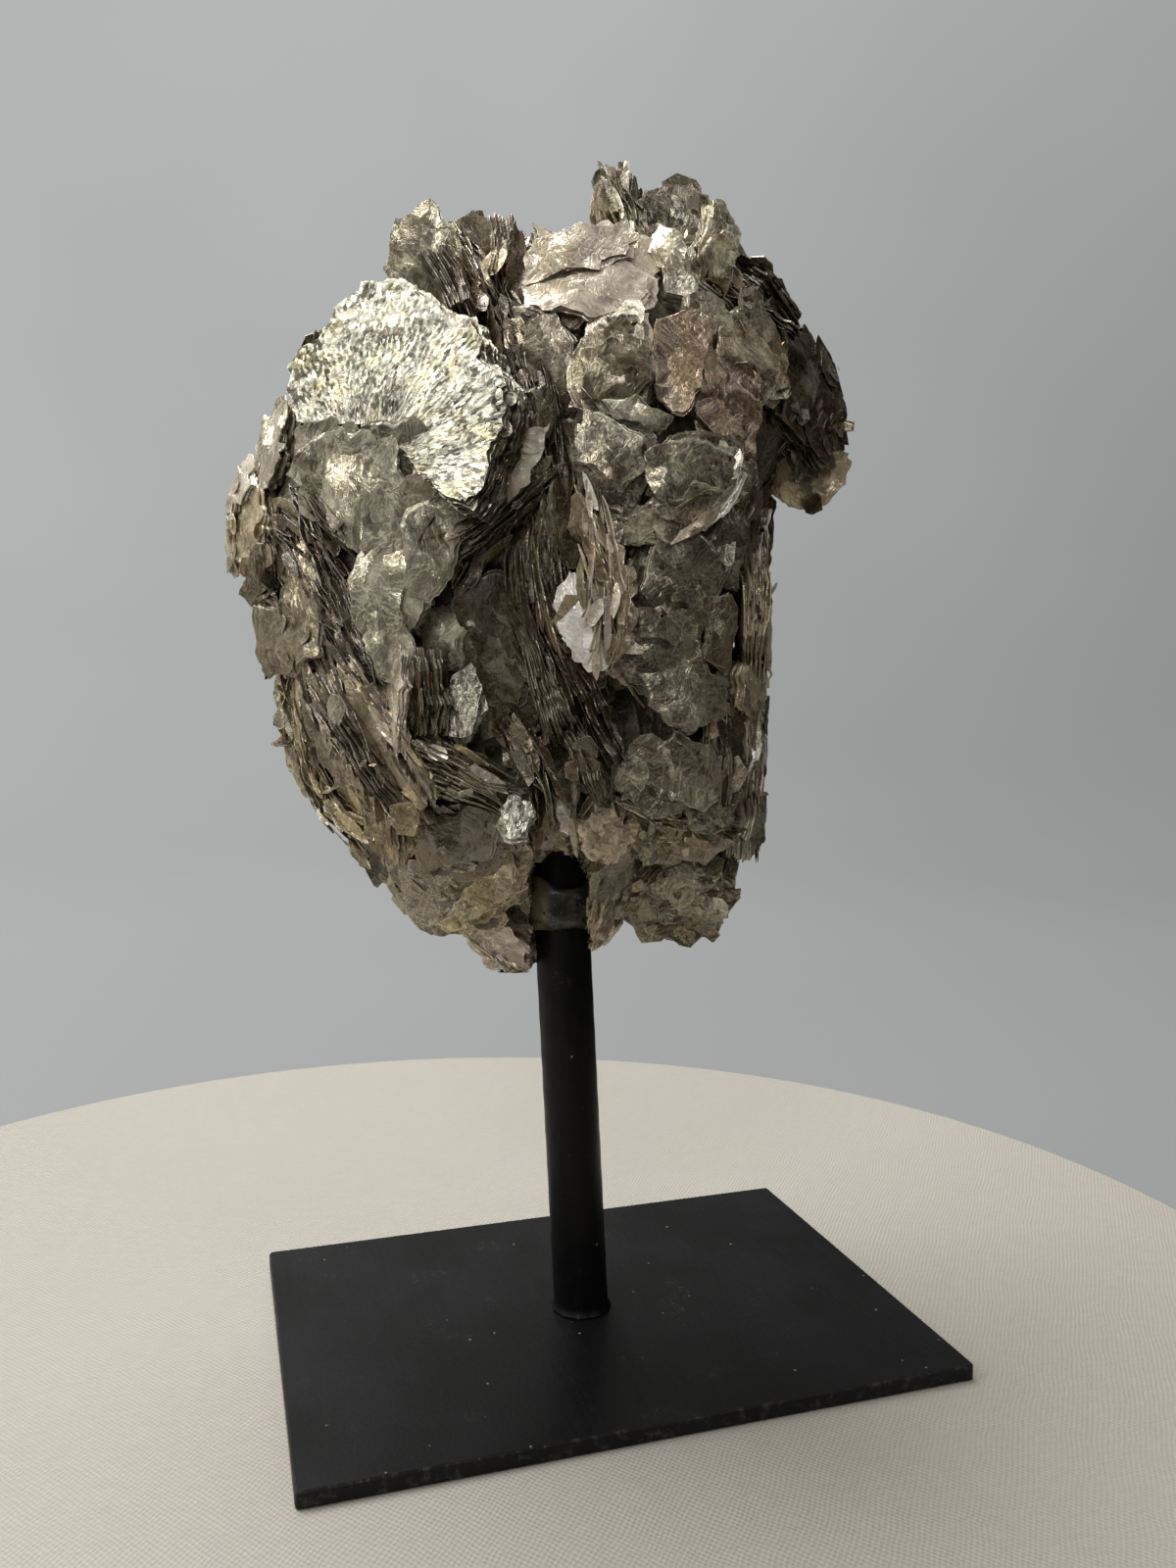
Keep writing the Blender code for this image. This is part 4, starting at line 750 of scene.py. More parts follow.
def grow_book(heap, spacing, name, at, yaw, pitch, spin, size, thick, tone, style):
    """A book as one closed stack of broken sheets."""
    look, seed = STYLES[style], seed_of(name)
    rng = np.random.default_rng(seed)
    base = break_sides(sheet_outline(name, size), BREAK_OVER * spacing, rng)
    count = len(base)
    reach = np.linalg.norm(base, axis=1)
    way = base / reach[:, None]
    sides = np.linalg.norm(np.roll(base, -1, 0) - base, axis=1)
    arc = np.concatenate(((0,), np.cumsum(sides)[:-1]))
    small = min(1.0, min(size) / FULL_SIZE)

    sheets = int(np.clip(thick / look["sheet"], 3, MOST_SHEETS))
    depth = thick / sheets
    reaches = sheet_reaches(reach, arc, sheets, small * look["short"], look["bite"], seed, rng)
    across = max(3, int(0.5 * min(size) / spacing) - 1)
    radii, depths, marks = book_rings(reach, reaches, across, depth, thick, look["groove"], rng)
    u, v = radii * way[:, 0], radii * way[:, 1]

    # the stack opens towards one side, its top sheets are folded, and all of it bows
    turn, half = rng.uniform(0, math.tau), 0.5 * max(size)
    along = (u * math.cos(turn) + v * math.sin(turn)) / half
    aside = -u * math.sin(turn) + v * math.cos(turn)
    relief = face_relief(u, v, along, aside, half, small, look, style, seed)
    w = -depths[:, None] * (1 + look["fan"] * along)
    w = w + relief * np.exp(-depths[:, None] / (2.5 * depth))
    w = w - look["bow"] * along**2 + 0.5 * small * noise(seed + 11, u / 8, v / 8)

    axes = sheet_axes(yaw, pitch, spin)
    rings = len(radii)
    local = np.vstack((np.stack((u, v, w), -1).reshape(-1, 3), (0, 0, w[0].mean()), (0, 0, w[-1].mean())))
    leaves = local + np.array((seed % 97, seed % 89, 0)) * LEAF_APART
    leaves[:-2, 2] = np.repeat(-depths, count)
    edges = np.concatenate((np.repeat(marks, count), (0, 1)))
    shade = rng.uniform(*SHADES)
    colour = np.array(TONES[tone]) * (shade, shade, shade, 1)
    if style == "silver":
        right, up = local[:, 0] - SILVER_HEART[0], local[:, 1] - SILVER_HEART[1]
        leaves[:, 0], leaves[:, 1] = 18 * np.abs(np.arctan2(right, up)), np.hypot(right, up)
        colour = np.where(edges[:, None] < 1, colour, np.array(TONES["smoke"]))
    tris = np.vstack((cap_faces(0, rings * count, count, True),
                      cap_faces((rings - 1) * count, rings * count + 1, count, False)))
    heap.add(np.array(at) + local @ axes, colour, leaves, edges, ring_faces(rings, count), tris)
    return axes


# ---------------------------------------------------------------- thin sheets and flakes


def grow_sheets(heap, at, axes, sizes, tones, thick, corners, seed):
    """Many thin broken sheets at once: centres (k, 3), axes (k, 3, 3), sizes (k, 2), tones (k, 4)."""
    many = len(at)
    rng = np.random.default_rng(seed)
    angle = math.tau * (np.arange(corners) + rng.uniform(-0.36, 0.36, (many, corners))) / corners
    swing = rng.uniform(0, 50, (many, 1))
    reach = 0.92 + 0.06 * noise(seed, 0.8 * angle, swing) + rng.uniform(-0.18, 0.12, (many, corners))
    u, v = 0.5 * sizes[:, :1] * reach * np.cos(angle), 0.5 * sizes[:, 1:] * reach * np.sin(angle)
    mean = sizes.mean(1, keepdims=True)
    bend = rng.uniform(-SHEET_CURL, SHEET_CURL, (many, 1)) * mean
    rise = bend * (reach * np.cos(angle + rng.uniform(0, 6, (many, 1)))) ** 2
    rise = rise + rng.uniform(-SHEET_WAVES, SHEET_WAVES, (many, corners)) * mean
    half = 0.5 * thick
    inset = 1 - np.minimum(0.4, SHEET_HIGHLIGHT_RIM / (0.5 * mean))
    inner = np.stack((u * inset, v * inset, rise * inset**2 + half), -1)
    top = np.stack((u, v, rise + half), -1)
    under = np.stack((u * SHEET_UNDER, v * SHEET_UNDER, rise - half), -1)
    middle = np.zeros((many, 2, 3))
    middle[:, 0, 2], middle[:, 1, 2] = half, -half
    local = np.concatenate((inner, top, under, middle), 1)
    points = at[:, None] + np.einsum("kpc,kcx->kpx", local, axes)
    per = 3 * corners + 2
    shift = np.arange(many)[:, None, None] * per
    fans = np.vstack((cap_faces(0, per - 2, corners, True), cap_faces(2 * corners, per - 1, corners, False)))
    leaves = local + rng.uniform(0, SHEETS_APART, (many, 1, 3)) * (1, 1, 0)
    # The top ring takes the mark along which the material paints a highlight at the rim
    marks = np.tile(np.repeat((0.0, RIM, 0.8, 0.0), (corners, corners, corners, 2)), many)
    heap.add(points.reshape(-1, 3), np.repeat(tones, per, 0), leaves.reshape(-1, 3), marks,
             (ring_faces(3, corners) + shift).reshape(-1, 4), (fans + shift).reshape(-1, 3))


def tilted(axes, rng):
    """Copies of sets of axes (k, 3, 3), each turned in its plane and tilted a little."""
    out = []
    for set_ in axes:
        spin = Matrix.Rotation(rng.uniform(0, math.tau), 3, Vector(set_[2]))
        way = rng.uniform(0, math.tau)
        lean_axis = Vector(set_[0]) * math.cos(way) + Vector(set_[1]) * math.sin(way)
        lean = Matrix.Rotation(math.radians(rng.uniform(-SHEET_TILT, SHEET_TILT)), 3, lean_axis)
        out.append(np.array(set_) @ np.array(lean @ spin).T)
    return np.array(out)


def vary(colour, rng, many, spread):
    """Tones about one tone."""
    shade = rng.uniform(1 - spread, 1 + spread, (many, 1))
    tint = 1 + rng.uniform(-0.05, 0.05, (many, 3))
    return np.concatenate((np.array(colour)[:3] * shade * tint, np.full((many, 1), colour[3])), 1)


def shaded(tones, low, high, rng):
    """Tones (k, 4), each lighter or darker by a share between low and high."""
    shade = rng.uniform(low, high, (len(tones), 1))
    return tones * np.hstack((shade, shade, shade, np.ones((len(tones), 1))))


def grow_loose_sheets(heap, book, axes):
    """Thin sheets that lie nearly flat on a book's face."""
    name, at, *_, size, _, tone, style = book
    rng = np.random.default_rng(seed_of(name) + 1)
    density = LOOSE_PER_CM2 * (LOOSE_ON_PEARL if tone == "pearl" else 1.0)
    many = int(round(0.78 * size[0] * size[1] / 100 * density))
    if many == 0 or style == "silver":
        return
    angle, reach = rng.uniform(0, math.tau, many), np.sqrt(rng.uniform(0.0, 0.95, many))
    u, v = 0.42 * size[0] * reach * np.cos(angle), 0.42 * size[1] * reach * np.sin(angle)
    spots = np.array(at) + u[:, None] * axes[0] + v[:, None] * axes[1]
    spots = spots + (rng.uniform(-0.25, 0.15, (many, 1)) - 0.4 * reach[:, None] ** 2) * axes[2]
    sets = tilted(np.repeat(axes[None], many, 0), rng)
    across = rng.uniform(0.2, 0.62, (many, 1)) * rng.uniform(0.55, 1.35, (many, 2)) * min(size)
    sizes, tones = np.clip(across, *LOOSE_SIZE), vary(TONES[tone], rng, many, LOOSE_VARIES)
    grow_sheets(heap, spots, sets, sizes, tones, LOOSE_THICK, LOOSE_CORNERS, seed_of(name))


def smoothed_path(path):
    """A path in mm as close, even points on a smooth line."""
    path = np.array(path, float)
    along = np.concatenate(((0,), np.cumsum(np.linalg.norm(np.diff(path, axis=0), axis=1))))
    at = np.linspace(0, along[-1], int(along[-1] / PATH_STEP) + 2)
    window = np.hanning(PATH_WINDOW)[1:-1]
    ends = len(window) // 2
    line = [np.pad(np.interp(at, along, path[:, k]), ends, "edge") for k in range(3)]
    return at, np.stack([np.convolve(row, window / window.sum(), "valid") for row in line], -1)


def grow_bundle(heap, name, path, yaw, pitch, many, spread, flare, height, tones):
    """A bundle of narrow sheets seen on edge along a path, with blades that have split off it."""
    seed = seed_of(name)
    rng = np.random.default_rng(seed)
    along, line = smoothed_path(path)
    whole = along[-1]
    outward = sheet_axes(yaw, pitch, 0)[2]

    def place(at, offset, rise):
        """Points beside the path, and the frame there: ahead, aside and out."""
        point = np.stack([np.interp(at, along, line[:, k]) for k in range(3)], -1)
        ahead = np.stack([np.interp(at, along, np.gradient(line[:, k], along)) for k in range(3)], -1)
        ahead /= np.linalg.norm(ahead, axis=-1, keepdims=True)
        aside = np.cross(ahead, outward)
        aside /= np.linalg.norm(aside, axis=-1, keepdims=True)
        out = np.cross(aside, ahead)
        wide = (offset * (1 + flare * (2 * at / whole - 1)))[..., None]
        return point + aside * wide + out * rise[..., None], ahead, aside, out

    for k in range(many):
        length = whole * rng.uniform(*STRAND_LENGTH)
        start = rng.uniform(-0.05 * whole, 1.05 * whole - length)
        steps = max(5, int(length / STRAND_STEP))
        at = np.clip(start + length * np.linspace(0, 1, steps), 0, whole)
        share = np.linspace(-1, 1, steps)
        offset = rng.normal(0, 0.5) * spread + rng.normal(0, 0.25) * spread * share
        offset = offset + 0.5 * noise(seed + k, at / 5, float(k))
        bulge = 1.0 - 0.5 * np.minimum(1, np.abs(offset) / (1.5 * spread))
        rise = rng.uniform(*STRAND_RISE) * bulge + 0.4 * ragged(seed + k, at)
        rise = rise + rng.uniform(*STRAND_END_RISE) * np.abs(share) ** 3
        crest, _, aside, out = place(at, offset, rise)
        tall = (height * rng.uniform(*STRAND_HEIGHT) * (1 - 0.7 * share**4))[:, None]
        lean = rng.normal(0, STRAND_LEAN)
        foot = crest - out * tall + aside * tall * lean
        half = aside * rng.uniform(*STRAND_HALF)
        ring = np.stack((crest - half, crest + half, foot + half, foot - half), 1)
        quads = ring_faces(steps, 4)[:, (1, 0, 3, 2)]
        ends = np.array(((3, 2, 1, 0), (4 * steps - 4, 4 * steps - 3, 4 * steps - 2, 4 * steps - 1)))
        aslant = np.tile((0.0, 0.3, 2.0, 2.0), steps) + (seed % 83 * 9 + 5 * k)
        leaves = np.stack((aslant, np.repeat(at, 4), np.full(4 * steps, 0.5 * k)), -1)
        # A strand's crest takes the mark for a painted highlight, stronger on some strands than others
        marks = np.tile((RIM, RIM, 0.0, 0.0), steps) * rng.uniform(0.0, 0.9)
        colour = vary(TONES[tones[k % len(tones)]], rng, 1, STRAND_VARIES)[0]
        heap.add(ring.reshape(-1, 3), colour, leaves, marks, np.vstack((quads, ends)))

    blades = int(BLADES_PER_STRAND * many)
    at, offset = rng.uniform(0.03, 0.97, blades) * whole, rng.normal(0, 0.55, blades) * spread
    spots, ahead, aside, out = place(at, offset, rng.uniform(*BLADE_RISE, blades))
    roll, yawing = rng.normal(0, BLADE_ROLL, (blades, 1)), rng.normal(0, BLADE_YAW, (blades, 1))
    ahead, aside = (ahead * np.cos(yawing) + aside * np.sin(yawing),
                    aside * np.cos(yawing) - ahead * np.sin(yawing))
    face = out * np.cos(roll) + aside * np.sin(roll)
    sizes = np.stack([rng.uniform(*extent, blades) for extent in BLADE_SIZE], -1)
    kinds = np.array([TONES[tones[i % len(tones)]] for i in range(blades)])
    sets = np.stack((ahead, np.cross(face, ahead), face), 1)
    kinds = shaded(kinds, *BLADE_SHADES, rng)
    grow_sheets(heap, spots, sets, sizes, kinds, BLADE_THICK, BLADE_CORNERS, seed + 5)


def surface_spots(many, rng):
    """Places all over the frame's mica, away from the post, with the way the surface faces there."""
    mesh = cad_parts["mica_crystal"].data
    mesh.calc_loop_triangles()
    corners = np.empty(3 * len(mesh.loop_triangles), np.int32)
    mesh.loop_triangles.foreach_get("vertices", corners)
    coords = np.empty(3 * len(mesh.vertices))
    mesh.vertices.foreach_get("co", coords)
    a, b, c = (from_stand(coords.reshape(-1, 3))[corners.reshape(-1, 3)[:, k]] for k in range(3))
    cross = np.cross(b - a, c - a)
    area = np.linalg.norm(cross, axis=1)
    pick = rng.choice(len(area), many, p=area / area.sum())
    p, q = rng.uniform(0, 1, (2, many, 1))
    p, q = np.where(p + q > 1, 1 - p, p), np.where(p + q > 1, 1 - q, q)
    spots = a[pick] + p * (b - a)[pick] + q * (c - a)[pick]
    clear = np.hypot(spots[:, 0] - POST_AT[0], spots[:, 1] - POST_AT[1]) > POST_CLEAR
    for _, at, *turns, size, _, tone, _ in FRONT_BOOKS:
        if tone in CLEAN_TONES:
            beside = (spots - at) @ sheet_axes(*turns).T
            clear &= np.abs(beside[:, 2]) + 6 * (np.hypot(*(beside[:, :2] / size).T) > 0.55) > 3
    return spots[clear], (cross[pick] / area[pick, None])[clear]


def grow_flakes(heap, many, sizes, corners, thick, lean, seed):
    """Flakes stuck all over, lying roughly on the surface."""
    rng = np.random.default_rng(seed)
    spots, normal = surface_spots(many, rng)
    many = len(spots)
    normal = normal + rng.normal(0, lean, (many, 3))
    normal /= np.linalg.norm(normal, axis=1)[:, None]
    side = np.cross(normal, (0.0, 0.0, 1.0)) + 1e-6
    side /= np.linalg.norm(side, axis=1)[:, None]
    sets = tilted(np.stack((side, np.cross(normal, side), normal), 1), rng)
    size = rng.uniform(*sizes, (many, 1)) * rng.uniform(0.55, 1.3, (many, 2))
    shares = np.array(list(FLAKE_TONES.values())) / sum(FLAKE_TONES.values())
    kinds = rng.choice(len(FLAKE_TONES), many, p=shares)
    tones = shaded(np.array([TONES[name] for name in FLAKE_TONES])[kinds], *FLAKE_SHADES, rng)
    grow_sheets(heap, spots - FLAKE_SINK * normal, sets, size, tones, thick, corners, seed)


# ---------------------------------------------------------------- the body under the books


def core_section(z):
    """Left, right, front and back extents of the body at heights z."""
    heights, *extents = np.array(CORE_LEVELS, float).T
    return [np.interp(z, heights, extent) for extent in extents]


def core_points(z, angle):
    """Points of the body's surface: angle 0 is to its right, 90 degrees to its back."""
    left, right, front, back = core_section(z)
    across, along = np.cos(angle), np.sin(angle)
    x = 0.5 * (left + right) + 0.5 * (right - left) * np.copysign(np.abs(across) ** CORE_SQUARENESS, across)
    y = 0.5 * (front + back) + 0.5 * (back - front) * np.copysign(np.abs(along) ** CORE_SQUARENESS, along)
    return np.stack(np.broadcast_arrays(x, y, z), -1)


def grow_core(heap):
    """The crushed body between the books: closed rings from its top to its bottom, with upright ribs."""
    z = CORE_TOP - (CORE_TOP - CORE_BOTTOM) * np.linspace(0, 1, CORE_RINGS)
    angle = np.linspace(0, math.tau, CORE_SIDES, endpoint=False)
    rings = core_points(z[:, None], angle[None])
    middle = rings.mean(1, keepdims=True)
    tops = [middle[:1] + (rings[:1] - middle[:1]) * k for k in CORE_CAPS]
    lows = [middle[-1:] + (rings[-1:] - middle[-1:]) * k for k in reversed(CORE_CAPS)]
    points = np.concatenate((*tops, rings, *lows), 0)
    middle = points.mean(1, keepdims=True)
    way = points - middle
    way /= np.maximum(np.linalg.norm(way, axis=2, keepdims=True), 0.01)

    x, y, z = np.moveaxis(points, -1, 0)
    arc = x + 1.3 * y
    lean = arc + 0.25 * z
    swell = 1.3 * noise(21, arc / 9, z / 11) + 0.8 * noise(22, lean / 1.6, z / 9)
    swell = swell + 0.4 * noise(23, lean / 0.7, z / 5) - 1.2
    caps = np.array(CORE_CAPS) * CORE_CAP_FADE
    fade = np.concatenate((caps, np.ones(CORE_RINGS), caps[::-1]))[:, None, None]
    points = points + way * swell[..., None] * fade
    crown = points[:len(CORE_CAPS)]
    crown[..., 2] += 1.5 * noise(24, crown[..., 0] / 3, crown[..., 1] / 3)

    levels = len(points)
    count = levels * CORE_SIDES
    leaves = np.stack((arc, points[..., 2], swell), -1).reshape(-1, 3)
    tris = np.vstack((cap_faces(0, count, CORE_SIDES, True),
                      cap_faces(count - CORE_SIDES, count + 1, CORE_SIDES, False)))
    # The body's tone is the brown of the mica between the books, darkened further as painted shade for the
    # crevices where it shows
    heap.add(np.vstack((points.reshape(-1, 3), middle[0], middle[-1])),
             np.array(TONES["brown"]) * (0.8, 0.8, 0.8, 1), np.vstack((leaves, np.zeros((2, 3)))), 0.6,
             ring_faces(levels, CORE_SIDES), tris)


def rule_books(name, count, directions, sizes, thicks, proud, tones):
    """Books spread evenly over the body between two directions, as the frame has them."""
    rng = random.Random(f"{name} {RULE_SEED}")
    first, last = directions
    books = []
    for i in range(count):
        share = (i + 0.5) / count
        share = share - RULE_CROWD * math.sin(math.tau * share) / math.tau
        z = CORE_BOTTOM + (CORE_TOP - CORE_BOTTOM) * share
        angle = math.radians(first) + (i * GOLDEN_ANGLE) % math.radians(last - first)
        at = Vector(core_points(z, angle))
        left, right, front, back = (float(e) for e in core_section(z))
        outward = (at - Vector((0.5 * (left + right), 0.5 * (front + back), at.z))).normalized()
        rise = (z - 0.5 * (CORE_BOTTOM + CORE_TOP)) / (0.5 * (CORE_TOP - CORE_BOTTOM))
        yaw = math.degrees(math.atan2(outward.x, -outward.y)) + rng.uniform(-1, 1) * RULE_TILT
        pitch = RULE_END_PITCH * rise**3 + rng.uniform(-1, 1) * RULE_TILT
        taper = 1 - RULE_TAPER * rise**4
        size = (rng.uniform(*sizes) * taper, rng.uniform(*sizes) * taper)
        spin, thick = rng.uniform(0, 90), rng.uniform(*thicks)
        look = random.Random(f"{name} look {i}")
        style = look.choice(RULE_STYLES)
        at = tuple(at + outward * proud)
        books.append((f"{name}_{i}", at, yaw, pitch, spin, size, thick, look.choice(tones), style))
    return books


# ---------------------------------------------------------------- node trees


class Signal:
    """An output of a node tree, which can be added, subtracted and multiplied as numbers and vectors are."""

    def __init__(self, graph, socket):
        self.graph, self.socket = graph, socket

    def __add__(self, other):
        return self.graph.join("ADD", self, other)

    def __sub__(self, other):
        return self.graph.join("SUBTRACT", self, other)

    def __rsub__(self, other):
        return self.graph.join("SUBTRACT", other, self)

    def __mul__(self, other):
        return self.graph.join("MULTIPLY", self, other)

    def __abs__(self):
        return self.graph.math("ABSOLUTE", self)

    __radd__, __rmul__ = __add__, __mul__

    def clamped(self):
        """The same sum or product, kept from 0 to 1."""
        self.socket.node.use_clamp = True
        return self


def is_vector(value):
    if isinstance(value, Signal):
        return value.socket.type != "VALUE"
    return isinstance(value, tuple)


class Graph:
    """A material's node tree, built by short calls that take numbers, colours, vectors or signals."""

    def __init__(self, name):
        self.material = bpy.data.materials.new(name)
        self.material.use_nodes = True
        self.tree = self.material.node_tree

    def feed(self, socket, value):
        if isinstance(value, Signal):
            self.tree.links.new(value.socket, socket)
        elif value is not None:
            opaque = socket.type == "RGBA" and len(value) == 3
            socket.default_value = (*value, 1) if opaque else value

    def add(self, kind, output=0, inputs=(), **settings):
        """A node with its settings made and its inputs fed, as the signal of one output."""
        node = self.tree.nodes.new("ShaderNode" + kind)
        for key, value in settings.items():
            setattr(node, key, value)
        for key, value in dict(inputs).items():
            self.feed(node.inputs[key], value)
        return Signal(self, node.outputs[output])

    def attribute(self, name, output):
        return self.add("Attribute", output, attribute_name=name)

    def place(self):
        """The place in the scene, in mm."""
        return self.add("NewGeometry", "Position") * (1 / MM)

    def math(self, operation, a, b=None):
        return self.add("Math", 0, {0: a, 1: b}, operation=operation)

    def join(self, operation, a, b):
        """The sum, difference or product of two values, of which either may be a vector."""
        if not (is_vector(a) or is_vector(b)):
            return self.math(operation, a, b)
        if is_vector(a) and is_vector(b):
            return self.add("VectorMath", "Vector", {0: a, 1: b}, operation=operation)
        vector, share = (a, b) if is_vector(a) else (b, a)
        return self.add("VectorMath", "Vector", {0: vector, "Scale": share}, operation="SCALE")

    def most(self, a, b):
        return self.math("MAXIMUM", a, b)

    def turned(self, vector, angle):
        return self.add("VectorRotate", 0, {"Vector": vector, "Angle": angle}, rotation_type="Z_AXIS")

    def fit(self, value, low, high, to_low=0.0, to_high=1.0):
        """From to_low to to_high as the value goes from low to high, smoothly."""
        ranges = {"Value": value, "From Min": low, "From Max": high, "To Min": to_low, "To Max": to_high}
        return self.add("MapRange", "Result", ranges, interpolation_type="SMOOTHSTEP")

    def noise(self, coords, scale=1.0, detail=3.0, roughness=0.55, output="Fac"):
        inputs = {"Vector": coords, "Scale": scale, "Detail": detail, "Roughness": roughness}
        return self.add("TexNoise", output, inputs)

    def cells(self, coords, scale, output="Color", feature="F1"):
        return self.add("TexVoronoi", output, {"Vector": coords, "Scale": scale}, feature=feature)

    def mix(self, share, a, b):
        return self.add("Mix", 2, {0: share, 6: a, 7: b}, data_type="RGBA")

    def split(self, colour, channel):
        return self.add("SeparateXYZ", channel, {"Vector": colour})

    def bump(self, height, distance, strength, normal=None):
        inputs = {"Height": height, "Distance": distance, "Strength": strength, "Normal": normal}
        return self.add("Bump", "Normal", inputs)

    def finish(self, **inputs):
        """The material, with the inputs of its shader fed."""
        for key, value in inputs.items():
            self.feed(self.tree.nodes["Principled BSDF"].inputs[key.replace("_", " ")], value)
        return self.material


MIDDLE = (0.5, 0.5, 0.5)
# How finely the mica's patterns repeat per mm: across the sheet, up it and through it
STREAKS = (0.62, 0.13, 1)
FIBRES = (2.7, 0.24, 1)
CROSS_FIBRES = (1.7, 0.20, 1)
HAIRS = (1.15, 0.12, 1)
CROSS_HAIRS = (0.85, 0.10, 1)
LAYERS = (0.14, 0.14, 2.2)
FINE_LAYERS = (0.5, 0.5, 11.0)
SPANGLES = (2.4, 1.0, 1)
CROSSING = 1.15  # angle between the two nets of hairs
SCALES = (0.20, 0.62)  # facets per mm, large and small
FACET_LEAN = (0.42, 0.24)  # how far they lean
RUST = (0.80, 0.55, 0.26)
GILT = (1.0, 0.90, 0.52)
GLINT = (0.29, 0.27, 0.21)
WALL_PALE = (0.075, 0.056, 0.026)
WALL_DEEP = (0.22, 0.14, 0.06)
WARM_SHINE = (1.0, 0.95, 0.85, 1)


def mica_patterns(g):
    """What all of the mica's looks are made from: the mesh's attributes and the patterns of its sheets."""
    tone, silver = g.attribute("tone", "Color"), g.attribute("tone", "Alpha")
    leaf, edge = g.attribute("leaf", "Vector"), g.attribute("edge", "Fac")
    # the sheet's own plane, bent so that what runs along it curves
    bend = g.noise(leaf, 0.07, 1, output="Color") - MIDDLE
    curl = g.noise(leaf, 0.33, 2, output="Color") - MIDDLE
    flat = (leaf + (bend * 22.0 + curl * 3.6)) * (1, 1, 0.15)
    crossed = g.turned(flat, CROSSING)
    crumpled = (leaf + curl * 3.0) * (1, 0.75, 0.15)
    return SimpleNamespace(
        tone=tone, silver=silver, leaf=leaf, edge=edge, flat=flat, crossed=crossed, crumpled=crumpled,
        lightness=g.split(tone, 1),
        wall=g.fit(edge, RIM + 0.05, 0.9),
        glassy=g.fit(silver, 0.16, 0.24) * g.fit(silver, 0.32, 0.45, 1.0, 0.0),
        foil=g.fit(silver, 0.35, 0.5),
        patches=g.noise(leaf, 0.14, 4, 0.6),
        streaks=g.noise(flat * STREAKS, 1.0, 4, 0.62),
        fibres=g.noise(flat * FIBRES, 1.0, 3, 0.6),
        cross_fibres=g.noise(crossed * CROSS_FIBRES, 1.0, 2, 0.6),
        grit=g.noise(leaf, 2.2, 3, 0.7),
        facets_big=g.cells(crumpled, SCALES[0]),
        facets=g.cells(crumpled, SCALES[1]),
        layers=g.noise(leaf * LAYERS, 1.0, 3, 0.65),
        fine_layers=g.noise(leaf * FINE_LAYERS, 1.0, 1, 0.6),
    )


def mica_lines_and_glints(g, s):
    """Pale hairs, creases that cross them, and the folds between facets; fainter on dark sheets. They stand
    for the mica's silvery stress lines, and their paleness is in part a painted glint.
    """

    def lines_of(height, width):
        """Thin lines where smooth noise crosses its middle."""
        return g.fit(abs(height - 0.5), 0.0, width, 1.0, 0.0)

    def borders(scale, width, strength):
        """Thin lines between facets."""
        distance = g.cells(s.crumpled, scale, "Distance", "DISTANCE_TO_EDGE")
        return g.fit(distance, 0.0, width, strength, 0.0)

    hairs = g.most(lines_of(g.noise(s.flat * HAIRS, 1.0, 0, 0.5), 0.055),
                   lines_of(g.noise(s.crossed * CROSS_HAIRS, 1.0, 0, 0.5), 0.045))
    hairs = hairs * g.fit(s.patches, 0.40, 0.58, 0.15, 1.0)
    creases = g.most(lines_of(g.noise(s.flat, 0.15, 1, 0.5), 0.022),
                     lines_of(g.noise(s.flat, 0.41, 1, 0.5), 0.040))
    creases = creases * g.fit(s.cross_fibres, 0.40, 0.56, 0.25, 1.0)
    folds = g.most(borders(SCALES[0], 0.030, 1.0), borders(SCALES[1], 0.045, 0.6))
    folds = folds * g.fit(s.fibres, 0.42, 0.56)
    lines = g.fit(g.most(g.most(hairs, creases), folds), 0.0, 0.6)
    return lines * g.fit(s.grit, 0.36, 0.56, 0.55, 1.0) * g.fit(s.lightness, 0.03, 0.13, 0.30, 1.0)


def mica_face(g, s):
    """The face's colour: patchy and streaked, stained, and gilded where it is silver."""
    shade = g.fit(s.patches, 0.3, 0.72, 0.50, 1.40) * g.fit(s.streaks, 0.30, 0.70, 0.72, 1.28)
    shade = shade * g.fit(s.fibres, 0.3, 0.7, 0.92, 1.08) * g.fit(s.grit, 0.25, 0.75, 0.92, 1.08)
    shade = shade * g.fit(g.split(s.facets_big, 0), 0, 1, 0.84, 1.16) * g.fit(s.glassy, 0, 1, 1.0, 0.85)
    paleness = g.most(g.fit(s.lightness, 0.45, 0.90, 0.0, 0.75), s.foil * 0.6)
    face = s.tone * (shade * (1.0 - paleness) + paleness)
    stains = g.noise(g.place() * (1, 1, 0.6), 0.085, 3, 0.6)
    stain = g.most(g.fit(stains, 0.50, 0.72, 0.0, 0.6), g.fit(s.streaks, 0.34, 0.46, 0.55, 0.0))
    face = g.mix(stain * (1.0 - paleness) * (1.0 - s.foil), face, face * RUST)
    return g.mix(s.foil * g.fit(s.patches, 0.46, 0.62, 0.0, 0.8), face, face * GILT)


def mica_wall(g, s):
    """The wall's colour: the sheets of the stack on edge, pale and deep by turns."""
    wall = g.mix(g.fit(s.layers, 0.38, 0.62), s.tone * WALL_DEEP, s.tone * 1.25 + WALL_PALE)
    return wall * g.fit(s.fine_layers, 0.3, 0.7, 0.45, 1.35)


